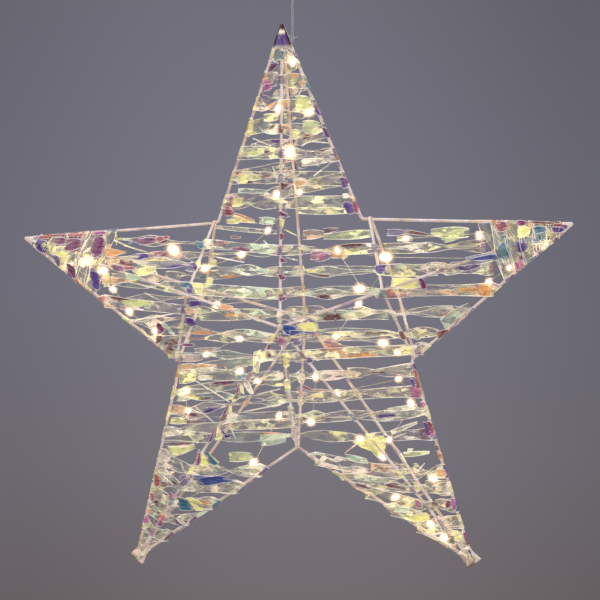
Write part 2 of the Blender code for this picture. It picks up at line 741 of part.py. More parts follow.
def add_noose(material, parent, collection):
    """A ring of line round the wire, its knot and the two cut ends, in one piece."""
    wire_spot, outward, ring, knot = knot_place()
    along = Vector((sin(OUTLINE_SLOPE), 0, -cos(OUTLINE_SLOPE)))
    points = []
    for step in range(RING_SEGMENTS + 1):
        angle = NOOSE_MOUTH + (tau - 2 * NOOSE_MOUTH) * step / RING_SEGMENTS
        points.append(wire_spot + Matrix.Rotation(angle, 3, along) @ outward * ring)
    tails = [[knot, knot + Vector(tail)] for tail in KNOT_TAILS]
    pieces = []
    for number, line in enumerate([points] + tails):
        tube = add_tube(f"noose_{number}", line, LINE_RADIUS, material, None, collection, 2)
        bpy.context.view_layer.update()
        graph = bpy.context.evaluated_depsgraph_get()
        shape = bmesh.new()
        shape.from_mesh(bpy.data.meshes.new_from_object(tube.evaluated_get(graph)))
        bmesh.ops.remove_doubles(shape, verts=shape.verts, dist=WELD_DISTANCE)
        pieces.append(add_object(f"noose_piece_{number}", mesh_from(f"noose_{number}", shape),
                                 material, None, collection))
        bpy.data.objects.remove(tube)
    ball = bmesh.new()
    bmesh.ops.create_uvsphere(
        ball, u_segments=ROUND_SEGMENTS, v_segments=TUBE_SEGMENTS, radius=KNOT_RADIUS
    )
    bmesh.ops.translate(ball, vec=knot, verts=ball.verts)
    noose = add_object("line_noose", mesh_from("line_noose", ball), material, parent, collection)
    cutters = bpy.data.collections["joining pieces"]
    for piece in pieces:
        collection.objects.unlink(piece)
        cutters.objects.link(piece)
        piece.parent = parent
        piece.hide_render = True
        piece.display_type = "WIRE"
        join = noose.modifiers.new(piece.name, "BOOLEAN")
        join.operation = "UNION"
        join.object = piece


def main():
    for obj in list(bpy.data.objects):
        bpy.data.objects.remove(obj)
    collection = new_collection("led christmas star")
    new_collection("joining pieces")

    wire_finish = new_material("coated wire", (0.86, 0.80, 0.70), 0.35)
    film_finish = new_material("iridescent film", (0.80, 0.82, 0.55), 0.08, alpha=0.45)
    light_finish = new_material("light string", (0.95, 0.85, 0.60), 0.25)
    line_finish = new_material("clear line", (0.80, 0.80, 0.82), 0.15)

    knot = knot_place()[3]
    hang = bpy.data.objects.new("star_centre", None)
    hang.location = (0, 0, -LINE_DROP - knot.length)
    hang.rotation_euler = (0, -atan2(knot.x, knot.z), 0)
    collection.objects.link(hang)
    bpy.context.view_layer.update()

    wires = frame_wires()
    for wire in wires:
        add_tube(
            wire.name, wire.points, WIRE_RADIUS, wire_finish, hang, collection, WIRE_SIDES_RESOLUTION
        )
    for side in (FRONT, BACK):
        add_hub_weld(side, wire_finish, hang, collection)
    for arm in range(ARMS):
        add_tip_weld(arm, wire_finish, hang, collection)
    add_windings(wires, film_finish, hang, collection)
    add_film_caps(film_finish, hang, collection)
    add_led_string(wires, light_finish, hang, collection)
    add_noose(line_finish, hang, collection)
    add_hanging_line(line_finish, collection)


main()
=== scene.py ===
"""The looks of a light-up Christmas star: coated wire, clear iridescent film ribbon and a
string of small lights, hanging on a thin clear line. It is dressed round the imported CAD."""

import random
from math import atan2, cos, exp, pi, radians, sin, sqrt, tan, tau

import bmesh
import bpy
from mathutils import Matrix, Vector, noise


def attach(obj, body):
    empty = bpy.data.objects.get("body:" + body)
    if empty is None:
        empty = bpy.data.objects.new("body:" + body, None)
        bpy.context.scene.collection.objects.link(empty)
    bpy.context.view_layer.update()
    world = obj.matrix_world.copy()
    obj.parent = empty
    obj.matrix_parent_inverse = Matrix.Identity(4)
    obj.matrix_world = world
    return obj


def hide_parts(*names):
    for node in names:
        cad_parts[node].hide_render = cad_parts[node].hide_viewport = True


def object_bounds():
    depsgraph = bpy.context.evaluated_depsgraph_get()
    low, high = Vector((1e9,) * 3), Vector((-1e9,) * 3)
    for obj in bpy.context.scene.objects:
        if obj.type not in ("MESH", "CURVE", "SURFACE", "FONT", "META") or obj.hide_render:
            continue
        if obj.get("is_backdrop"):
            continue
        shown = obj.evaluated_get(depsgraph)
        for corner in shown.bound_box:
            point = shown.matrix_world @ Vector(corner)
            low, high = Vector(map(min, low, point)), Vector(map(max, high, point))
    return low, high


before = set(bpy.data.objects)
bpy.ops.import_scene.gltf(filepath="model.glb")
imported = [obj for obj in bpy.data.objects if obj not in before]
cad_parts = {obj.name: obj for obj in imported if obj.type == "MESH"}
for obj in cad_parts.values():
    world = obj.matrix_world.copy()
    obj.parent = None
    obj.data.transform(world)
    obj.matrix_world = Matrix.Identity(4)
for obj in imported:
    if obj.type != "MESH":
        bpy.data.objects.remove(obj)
cad_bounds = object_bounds()
bpy.context.scene.view_settings.view_transform = "Standard"


# The frame's own lines: the star is five arms of welded 3 mm wire, four wires to a tip.
# Film, lights and camera are all placed in the star's own plane, then hung on the line.

MM = 0.001
TIP_REACH = 300 * MM
CORNER_REACH = 127.2 * MM
HALF_DEPTH = 52.2 * MM
WIRE_RADIUS = 1.5 * MM
SEAT = 0.3 * MM
LINE_RADIUS = 0.4 * MM
KNOT_RADIUS = 1.3 * MM
LINE_DROP = 80 * MM
NOOSE_BELOW_TIP = 18 * MM
WIRE_PITCH = 2 * WIRE_RADIUS + SEAT
RIB_SPOT = 106 * MM
RIB_SEATS = {"left": (4 * MM, 3.5 * MM), "right": (9 * MM, 3.5 * MM)}
ARM_NAMES = ("top", "right", "lower_right", "lower_left", "left")


def spoke(turn):
    return Vector((sin(tau * turn), 0, cos(tau * turn)))


AXES = [spoke(arm / 5) for arm in range(5)]
TIPS = [axis * TIP_REACH for axis in AXES]
CORNERS = [spoke((arm + 0.5) / 5) * CORNER_REACH for arm in range(5)]
CORNER_ACROSS = CORNER_REACH * sin(pi / 5)
CORNER_ALONG = CORNER_REACH * cos(pi / 5)
SIDE_SLOPE = atan2(CORNER_ACROSS, TIP_REACH - CORNER_ALONG)
SIDE_OUT = Vector((cos(SIDE_SLOPE), 0, sin(SIDE_SLOPE)))
NOOSE_PLACE = Vector((NOOSE_BELOW_TIP * tan(SIDE_SLOPE), 0, TIP_REACH - NOOSE_BELOW_TIP))
KNOT = NOOSE_PLACE + SIDE_OUT * (WIRE_RADIUS + SEAT + LINE_RADIUS + KNOT_RADIUS)
STAR_MIDDLE = Vector((0, 0, -LINE_DROP - KNOT.length))
HUNG = Matrix.Translation(STAR_MIDDLE) @ Matrix.Rotation(-atan2(KNOT.x, KNOT.z), 4, "Y")


def skin_depth(x, z):
    """How far the star's front or back skin stands from its middle plane."""
    turn = atan2(x, z) % (tau / 5)
    turn = min(turn, tau / 5 - turn)
    reach = sqrt(x * x + z * z)
    along, across = reach * cos(turn), reach * sin(turn)
    spread = (TIP_REACH - along) * CORNER_ACROSS - across * (TIP_REACH - CORNER_ALONG)
    return HALF_DEPTH * spread / (TIP_REACH * CORNER_ACROSS)


class Wire:
    """One straight wire of the frame: side is -1 in front, 1 behind and 0 on the outline."""

    def __init__(self, name, side, start, end):
        self.name, self.side, self.start, self.end = name, side, start, end

    def crossing(self, along, station):
        """Where the wire meets the plane at that station along a direction, and the wire's own way."""
        low, high = self.start.dot(along), self.end.dot(along)
        if low == high or not min(low, high) <= station <= max(low, high):
            return None
        way = self.end - self.start
        return self.start + way * ((station - low) / (high - low)), way.normalized()


WIRES = []
for arm, arm_name in enumerate(ARM_NAMES):
    for corner in (CORNERS[arm - 1], CORNERS[arm]):
        WIRES.append(Wire(f"outline_{arm_name}", 0, TIPS[arm], corner))
    for side in (-1, 1):
        hub = Vector((0, side * HALF_DEPTH, 0))
        WIRES.append(Wire(f"ridge_{arm_name}", side, hub, TIPS[arm]))
        for upper, seat in zip((True, False), RIB_SEATS.get(arm_name, ())):
            corner = CORNERS[arm] if (arm_name == "left") == upper else CORNERS[arm - 1]
            foot = corner + (TIPS[arm] - corner).normalized() * seat
            spot = hub.lerp(TIPS[arm], RIB_SPOT / TIP_REACH)
            foot.y = side * WIRE_PITCH / cos(atan2(abs(spot.y), (spot - foot).xz.length))
            WIRES.append(Wire(f"rib_{arm_name}", side, foot, spot))
for side in (-1, 1):
    WIRES.append(Wire("valley", side, Vector((0, side * HALF_DEPTH, 0)), CORNERS[2]))


# The studio: a pale floor well below the hanging star, soft lamps round it and a mid grey
# behind, seen through the clear film, with painted shade darkening it towards the picture's edges.

CAMERA_YAW, CAMERA_PITCH, CAMERA_ROLL = radians(-14.18), radians(4.19), radians(-2.06)
CAMERA_SHIFT = Vector((-7.2 * MM, 2067 * MM, -22.8 * MM))
CAMERA_LENS = 122.46
CAMERA_SENSOR = 36
WALL_LEAN = 0.1
FLOOR_DROP = 1.7


def set_inputs(tree, node, inputs):
    """Gives each input of a node its plain value, or links another node's output to it."""
    for socket, value in inputs.items():
        if isinstance(value, bpy.types.NodeSocket):
            tree.links.new(value, node.inputs[socket])
        else:
            node.inputs[socket].default_value = value


def add_node(tree, kind, inputs, **settings):
    node = tree.nodes.new(f"ShaderNode{kind}")
    for setting, value in settings.items():
        setattr(node, setting, value)
    set_inputs(tree, node, inputs)
    return node


def add_ramp(tree, factor, stops):
    """A colour ramp through the stops, each a place from 0 to 1 and its colour."""
    node = add_node(tree, "ValToRGB", {"Fac": factor})
    elements = node.color_ramp.elements
    for element, (where, colour) in zip(elements, (stops[0], stops[-1])):
        element.position = where
        element.color = (*colour, 1)
    for where, colour in stops[1:-1]:
        elements.new(where).color = (*colour, 1)
    return node


def maths(tree, operation, a, b):
    return add_node(tree, "Math", {0: a, 1: b}, operation=operation).outputs[0]


def mixed(tree, blend, factor, a, b):
    inputs = {"Factor": factor, "A": a, "B": b}
    return add_node(tree, "Mix", inputs, data_type="RGBA", blend_type=blend).outputs["Result"]


def new_finish(name):
    material = bpy.data.materials.new(name)
    material.use_nodes = True
    return material, material.node_tree, material.node_tree.nodes["Principled BSDF"]


turn_in = (
    Matrix.Rotation(CAMERA_ROLL, 3, "Y") @ Matrix.Rotation(CAMERA_PITCH, 3, "X")
    @ Matrix.Rotation(CAMERA_YAW, 3, "Z")
).transposed()
camera_place = (turn_in @ -CAMERA_SHIFT).to_4d()
looks = Matrix((turn_in.col[0], turn_in.col[2], -turn_in.col[1])).transposed().to_4x4()
camera_data = bpy.data.cameras.new("photo view")
camera_data.lens = CAMERA_LENS
camera_data.sensor_width = CAMERA_SENSOR
camera = bpy.data.objects.new("photo view", camera_data)
camera.matrix_world = HUNG @ Matrix.Translation(camera_place.xyz) @ looks
bpy.context.scene.collection.objects.link(camera)
bpy.context.scene.camera = camera

world = bpy.data.worlds.new("grey studio")
bpy.context.scene.world = world
world.use_nodes = True
air = world.node_tree
air.nodes.clear()
rays = add_node(air, "LightPath", {}).outputs
seen = maths(air, "MAXIMUM", rays["Is Camera Ray"], rays["Is Glossy Ray"])
seen = maths(air, "MAXIMUM", seen, rays["Is Transmission Ray"])
gaze = add_node(air, "TexCoord", {}).outputs["Generated"]


def share_of_view(way):
    """How far over the picture a direction lies, from 0 at one edge to 1 at the other."""
    edge = CAMERA_SENSOR / 2 / CAMERA_LENS
    lean = add_node(air, "VectorMath", {0: gaze, 1: way.xyz}, operation="DOT_PRODUCT").outputs["Value"]
    limits = {"From Min": -edge, "From Max": edge, "Value": lean}
    return add_node(air, "MapRange", limits).outputs["Result"]


right, up = camera.matrix_world.col[0], camera.matrix_world.col[1]
# Painted shade on the grey behind: darker towards the picture's top and bottom, and again towards its sides.
wall = add_ramp(air, share_of_view(up), (
    (0, (0.170, 0.148, 0.157)), (0.25, (0.191, 0.178, 0.205)), (0.5, (0.194, 0.188, 0.230)),
    (0.75, (0.181, 0.179, 0.222)), (1, (0.163, 0.160, 0.197)),
))
side_shade = add_ramp(air, share_of_view(right + WALL_LEAN * up), (
    (0, (0.77, 0.77, 0.78)), (0.25, (0.97, 0.97, 0.97)), (0.45, (1.02, 1.02, 1.02)),
    (0.7, (0.97, 0.97, 0.97)), (1, (0.70, 0.70, 0.70)),
))
side_shade.color_ramp.interpolation = "B_SPLINE"
backdrop = mixed(air, "MULTIPLY", 1, wall.outputs["Color"], side_shade.outputs["Color"])
backdrop = mixed(air, "MIX", seen, (0.42, 0.42, 0.44, 1), backdrop)
shine = add_node(air, "Background", {"Color": backdrop})
add_node(air, "OutputWorld", {"Surface": shine.outputs[0]})

bpy.ops.object.select_all(action="DESELECT")
bpy.ops.mesh.primitive_plane_add(size=5, location=(0, 0, -FLOOR_DROP))
floor_piece = bpy.context.object
floor_piece.name = "floor"
pale, tree, shader = new_finish("pale floor")
set_inputs(tree, shader, {"Base Color": (0.62, 0.61, 0.63, 1), "Roughness": 0.8})
floor_piece.data.materials.append(pale)
floor_piece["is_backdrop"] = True

for name, spot, size, power in (
    ("key", (-1.5, -1.9, 1.1), 1.4, 34), ("fill", (1.9, -1.6, 0.2), 1.2, 20),
    ("top", (0.2, 0.3, 1.9), 1.3, 22), ("back", (0.8, 2.0, 0.5), 1.5, 22),
):
    lamp = bpy.data.lights.new(name, "AREA")
    lamp.size = size
    lamp.energy = power
    lamp_piece = bpy.data.objects.new(name, lamp)
    lamp_piece.location = spot
    lamp_piece.rotation_euler = (STAR_MIDDLE - Vector(spot)).to_track_quat("-Z", "Y").to_euler()
    bpy.context.scene.collection.objects.link(lamp_piece)


# Cloudy unevenness, the effect that lacquer, resin, copper and nylon share: its bare grain,
# and a tone between a dark and a pale one.

mottle = bpy.data.node_groups.new("mottle", "ShaderNodeTree")
for name, way, kind in (
    ("Scale", "INPUT", "Float"), ("Detail", "INPUT", "Float"), ("Dark", "INPUT", "Color"),
    ("Pale", "INPUT", "Color"), ("Grain", "OUTPUT", "Float"), ("Tone", "OUTPUT", "Color"),
):
    mottle.interface.new_socket(name, in_out=way, socket_type=f"NodeSocket{kind}")
given = mottle.nodes.new("NodeGroupInput").outputs
made = mottle.nodes.new("NodeGroupOutput")
cloud = add_node(mottle, "TexNoise", {
    "Vector": add_node(mottle, "TexCoord", {}).outputs["Object"],
    "Scale": given["Scale"], "Detail": given["Detail"],
}).outputs["Fac"]
set_inputs(mottle, made, {"Grain": cloud, "Tone": mixed(mottle, "MIX", cloud, given["Dark"], given["Pale"])})


def add_grain(tree, scale, detail):
    return add_node(tree, "Group", {"Scale": scale, "Detail": detail}, node_tree=mottle).outputs["Grain"]


def add_tone(tree, scale, detail, dark, pale):
    inputs = {"Scale": scale, "Detail": detail, "Dark": (*dark, 1), "Pale": (*pale, 1)}
    return add_node(tree, "Group", inputs, node_tree=mottle).outputs["Tone"]


# The wires and welds: steel wire, bent and welded, then coated in glossy cream lacquer whose
# thickness varies a little. The solids of the CAD stay, with the lacquer as their finish.

lacquer, tree, shader = new_finish("cream lacquer")
tone = add_ramp(tree, add_grain(tree, 60, 3), (
    (0.34, (0.42, 0.30, 0.34)), (0.46, (0.62, 0.51, 0.36)), (0.54, (0.66, 0.50, 0.46)),
    (0.66, (0.72, 0.64, 0.60)),
)).outputs["Color"]
bump = add_node(tree, "Bump", {"Strength": 0.25, "Distance": 0.1 * MM, "Height": add_grain(tree, 900, 2)})
# Painted glow: a faint emission in the lacquer's own colour stands in for the lights' light falling on the
# wires.
set_inputs(tree, shader, {
    "Base Color": tone, "Emission Color": tone, "Emission Strength": 0.05, "Roughness": 0.34,
    "Coat Weight": 0.4, "Coat Roughness": 0.12, "Normal": bump.outputs["Normal"],
})
for name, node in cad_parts.items():
    on_outline = name.startswith(("outline", "tip_weld"))
    if on_outline or name.endswith(("wire", "hub_weld")) or "_ridge_" in name or "_rib_" in name:
        node.data.materials.clear()
        node.data.materials.append(lacquer)


# String of lights: a warm white chip in a drop of cloudy resin, 7 mm long, on a twisted
# pair of thin lacquered copper wires that weaves through the frame just inside the film.

FRONT, EDGE, BACK = -1, 0, 1
LED_WIRE_RADIUS = 0.24 * MM
LED_STRAND_OFFSET = 0.26 * MM
LED_TWIST_PITCH = 7 * MM
LED_INSET = 3.5 * MM
LED_CLEARANCE = 0.4 * MM
LED_HALF_LENGTH = 2.2 * MM
LED_DROP = (1.5 * MM, 1.5 * MM, 2.7 * MM)
# A way that no stretch of the wire runs along, from which its twist is counted.
TWIST_START = Vector((0.13, 0.97, 0.21))
# Each bend or light: x and z in mm, its side, and its strength, which is 0 for a plain bend.
LED_ROUTE = (
    (4, 276, EDGE, 0), (9, 262, FRONT, 0.9), (-4, 216, FRONT, 1.3), (25, 211, EDGE, 1),
    (7, 172, FRONT, 2.2), (-6, 130, FRONT, 1), (6, 131, BACK, 0.7), (-28, 93, BACK, 0.7),
    (-47, 71, FRONT, 1), (-85, 58, FRONT, 1), (-121, 77, FRONT, 2.2), (-178, 60, FRONT, 0),
    (-197, 57.5, FRONT, 1.5), (-215, 68, FRONT, 1.6), (-236, 63, EDGE, 1), (-192, 37, BACK, 0.7),
    (-174, 14, EDGE, 1), (-145, -7, EDGE, 1.4), (-69, 22, FRONT, 1), (77, 35, FRONT, 1.4),
    (52, 72, FRONT, 1), (101, 65, FRONT, 1.9), (180, 62, FRONT, 0), (200.5, 62, FRONT, 0.45),
    (252, 77, EDGE, 1.5), (222, 51, EDGE, 0.5), (201, 38, EDGE, 0.6), (192, 83, BACK, 0.7),
    (118, 82, BACK, 0.7), (61, 15, BACK, 0.7), (51, -12, FRONT, 1), (95, -21, FRONT, 1.3),
    (106, -32, BACK, 0.7), (-63, -18, BACK, 0.7), (-95, -32, BACK, 0.7), (-23, -30, FRONT, 1),
    (-49, -46, FRONT, 1), (-49, -63, BACK, 0.7), (-116, -69, EDGE, 1), (-113, -90, FRONT, 1),
    (-146, -180, FRONT, 0), (-160, -214, EDGE, 0), (-128, -186, BACK, 0), (-47, -143, EDGE, 1),
    (-22, -97, BACK, 0.7), (18, -100, FRONT, 1), (31, -51, FRONT, 1), (37, -76, BACK, 0.7),
    (106, -59, BACK, 0.7), (119, -83, EDGE, 1), (91, -123, BACK, 0.7), (70, -116, FRONT, 1),
    (92, -134, FRONT, 1), (139, -159, EDGE, 1), (100, -178, EDGE, 1), (135, -205, EDGE, 1),
    (149, -218, EDGE, 1),
)


def dips_between(start, start_side, end, end_side):
    """Where the light wire ducks under the frame's wires between two of its bends."""
    passed = end_side if start_side == EDGE else start_side
    dips = []
    for wire in WIRES:
        if wire.side != passed or passed == EDGE or passed * end_side < 0:
            continue
        way, along = end - start, wire.end - wire.start
        cross = way.x * along.z - way.z * along.x
        offset = wire.start - start
        share = (offset.x * along.z - offset.z * along.x) / cross
        on_wire = (offset.x * way.z - offset.z * way.x) / cross
        if 0 < share < 1 and 0 <= on_wire <= 1:
            dip = wire.start.lerp(wire.end, on_wire)
            fall = cos(atan2(abs(along.y), along.xz.length))
            dip.y -= passed * (WIRE_RADIUS + SEAT + LED_CLEARANCE) / fall
            straight = start.lerp(end, share)
            if abs(straight.y) > abs(dip.y) or end_side == start_side:
                dips.append((share, dip))
    return [dip for _, dip in sorted(dips, key=lambda item: item[0])]


bends = []
for x, z, side, power in LED_ROUTE:
    depth = max(skin_depth(x * MM, z * MM) - LED_INSET, 0)
    bends.append((Vector((x * MM, side * depth, z * MM)), side, power))
led_points, led_places = [], []
for index, (spot, side, power) in enumerate(bends):
    if index:
        led_points += dips_between(*bends[index - 1][:2], spot, side)
    if power:
        way = (spot - led_points[-1]).normalized()
        led_places.append((spot, way, power))
        led_points += [spot - way * LED_HALF_LENGTH, spot, spot + way * LED_HALF_LENGTH]
    else:
        led_points.append(spot)


def new_glowing(name, scale, detail, dark, pale, values):
    """Lit resin, or the warm painted glow round it that stands in for the glow of its light, in two cloudy
    tones.
    """
    material, tree, shader = new_finish(name)
    tone = add_tone(tree, scale, detail, dark, pale)
    set_inputs(tree, shader, {"Base Color": tone, "Emission Color": tone, **values})
    return material


GLOSSY = {"Emission Strength": 14, "Roughness": 0.1}
HAZY_GLOW = {"Emission Strength": 1.5, "Roughness": 0.5, "Specular IOR Level": 0.1}
# The chip and its resin drop are the light itself; the near and far shells round each drop are a painted glow,
# faint see-through shells standing in for the glow round the light.
LED_LAYERS = (
    ("light_chips", 1.15, new_glowing(
        "lit resin drop", 420, 1, (1.0, 0.80, 0.46), (1.0, 0.95, 0.82), GLOSSY)),
    ("light_drops", 1.8, new_glowing(
        "cloudy resin", 500, 2, (1.0, 0.74, 0.46), (1.0, 0.90, 0.72), {**HAZY_GLOW, "Alpha": 0.34})),
    ("light_near_painted_glow", 2.6, new_glowing(
        "near painted glow", 500, 2, (1.0, 0.66, 0.36), (1.0, 0.78, 0.52), {**HAZY_GLOW, "Alpha": 0.14})),
    ("light_far_painted_glow", 3.8, new_glowing(
        "far painted glow", 500, 2, (1.0, 0.56, 0.30), (1.0, 0.70, 0.46), {**HAZY_GLOW, "Alpha": 0.05})),
)

bpy.ops.object.select_all(action="DESELECT")
bpy.ops.mesh.primitive_uv_sphere_add(segments=12, ring_count=8, radius=1)
drop = bpy.context.object
bpy.ops.object.mode_set(mode="EDIT")
bpy.ops.mesh.select_all(action="SELECT")
bpy.ops.transform.resize(value=LED_DROP)
bpy.ops.object.mode_set(mode="OBJECT")
bpy.ops.object.shade_smooth()
for name, swell, finish in LED_LAYERS:
    drops = bmesh.new()
    for spot, way, power in led_places:
        copy = drop.data.copy()
        turn = way.to_track_quat("Z", "Y").to_matrix().to_4x4()
        lengthened = 0.45 + 0.55 * swell
        grown = Matrix.Diagonal((swell, swell, lengthened, 1)) @ Matrix.Scale(power ** 0.5, 4)
        copy.transform(HUNG @ Matrix.Translation(spot) @ turn @ grown)
        drops.from_mesh(copy)
        bpy.data.meshes.remove(copy)
    mesh = bpy.data.meshes.new(name)
    drops.to_mesh(mesh)
    drops.free()
    piece = bpy.data.objects.new(name, mesh)
    bpy.context.scene.collection.objects.link(piece)
    mesh.materials.append(finish)
    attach(piece, "star")
bpy.data.objects.remove(drop)

copper, tree, shader = new_finish("lacquered copper")
tone = add_tone(tree, 150, 2, (0.62, 0.50, 0.34), (0.86, 0.80, 0.68))
set_inputs(tree, shader, {"Base Color": tone, "Metallic": 0.6, "Roughness": 0.25})


def draw_strands(name, strands, radius, resolution, finish):
    """Fine wire or line, as round strands through their points."""
    data = bpy.data.curves.new(name, "CURVE")
    data.dimensions = "3D"
    data.bevel_depth = radius
    data.bevel_resolution = resolution
    data.use_fill_caps = True
    for strand in strands:
        spline = data.splines.new("POLY")
        spline.points.add(len(strand) - 1)
        for point, spot in zip(spline.points, strand):
            point.co = (*spot, 1)
    data.materials.append(finish)
    piece = bpy.data.objects.new(name, data)
    bpy.context.scene.collection.objects.link(piece)
    return piece


strands = []
for turn_start in (0, pi):
    twisted = []
    run = 0.0
    for start, end in zip(led_points, led_points[1:]):
        length = (end - start).length
        way = (end - start).normalized()
        aside = way.cross(TWIST_START).normalized()
        upward = way.cross(aside)
        steps = max(1, round(length / (LED_TWIST_PITCH / 6)))
        for step in range(steps):
            angle = turn_start + tau * (run + length * step / steps) / LED_TWIST_PITCH
            offset = (aside * cos(angle) + upward * sin(angle)) * LED_STRAND_OFFSET
            twisted.append(HUNG @ (start.lerp(end, step / steps) + offset))
        run += length
    strands.append(twisted)
light_wires = draw_strands("light_wires", strands, LED_WIRE_RADIUS, 1, copper)
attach(light_wires, "star")
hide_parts("led_string")


# Film ribbon: thin clear polyester with a coating that turns yellow, teal, violet and red,
# cut 12 mm wide, gathered on each wire, twisted and creased on its way to the next.

FILM_WIDTH = 12 * MM
FILM_STEP = 2.2 * MM
FILM_LIFT = WIRE_RADIUS + SEAT + 0.35 * MM
STEEPEST_FALL = radians(50)
# The ribbon's painted edge highlight: RIM wide, and at most RIM_MOST of each half of the ribbon.
RIM = 0.8 * MM
RIM_MOST = 0.35
ROW_END = 0.02
PATCH_FADE, PATCH_HAZE = 3, 0.85
GATHER_STEP = 1.8 * MM
GATHER_RUN = 1.5 * MM
GATHER_CREASE = 0.25 * MM
SPAN_CREASE = 1.1 * MM
SPAN_HOLLOW = 0.6 * MM
SHORT_SPAN = 22 * MM
ROPE_HALF = 1.1 * MM
ROPE_OPENING = 0.17
LENS_HALF = 1.6 * MM
FAN_SHARE = 0.3
BUNCH_SHARE = 0.09
RIPPLES_OVER, RIPPLES_ALONG, RIPPLES_ACROSS = 140, 90, 2.2
OPEN_BULGE = 2 * MM
HUB_ROOM = 6 * MM
# The film's painted glow: a warm emission colour baked into each point of the film, a plain level everywhere
# and more near each light, standing in for the lights' light on it.
GLOW_PLAIN = 0.21
GLOW_MOST = 1.7
GLOW_REACH = 60 * MM
GLOW_CLOSE = (1.4, 6 * MM)
GLOW_WIDE = (0.11, 26 * MM)
GLOW_TONE = (1, 0.83, 0.57)
RED = (0.37, 0.018, 0.045)
MAROON = (0.13, 0.01, 0.018)
VIOLET = (0.085, 0.022, 0.29)
PURPLE = (0.17, 0.008, 0.12)
BLUE = (0.025, 0.055, 0.32)
TEAL = (0.015, 0.15, 0.27)
MAGENTA = (0.46, 0.06, 0.30)
YELLOW = (0.92, 0.88, 0.36)
ORANGE = (0.80, 0.34, 0.10)
GREEN = (0.66, 0.74, 0.30)
PALE = (0.74, 0.70, 0.58)
PINK = (0.72, 0.56, 0.56)
MINT = (0.56, 0.76, 0.58)
# WHITE_GLINT is a painted highlight: the near-white flash where the film catches the light.
WHITE_GLINT = (1.0, 0.95, 0.86)
WRAP_COLOURS = {
    -1: ((YELLOW, ORANGE), (PALE, PINK), (PALE, YELLOW), (GREEN, PALE), (PINK, WHITE_GLINT), (ORANGE, RED)),
    1: ((VIOLET, RED), (BLUE, MAGENTA), (TEAL, VIOLET), (VIOLET, MAGENTA), (PALE, YELLOW), (PURPLE, RED)),
}
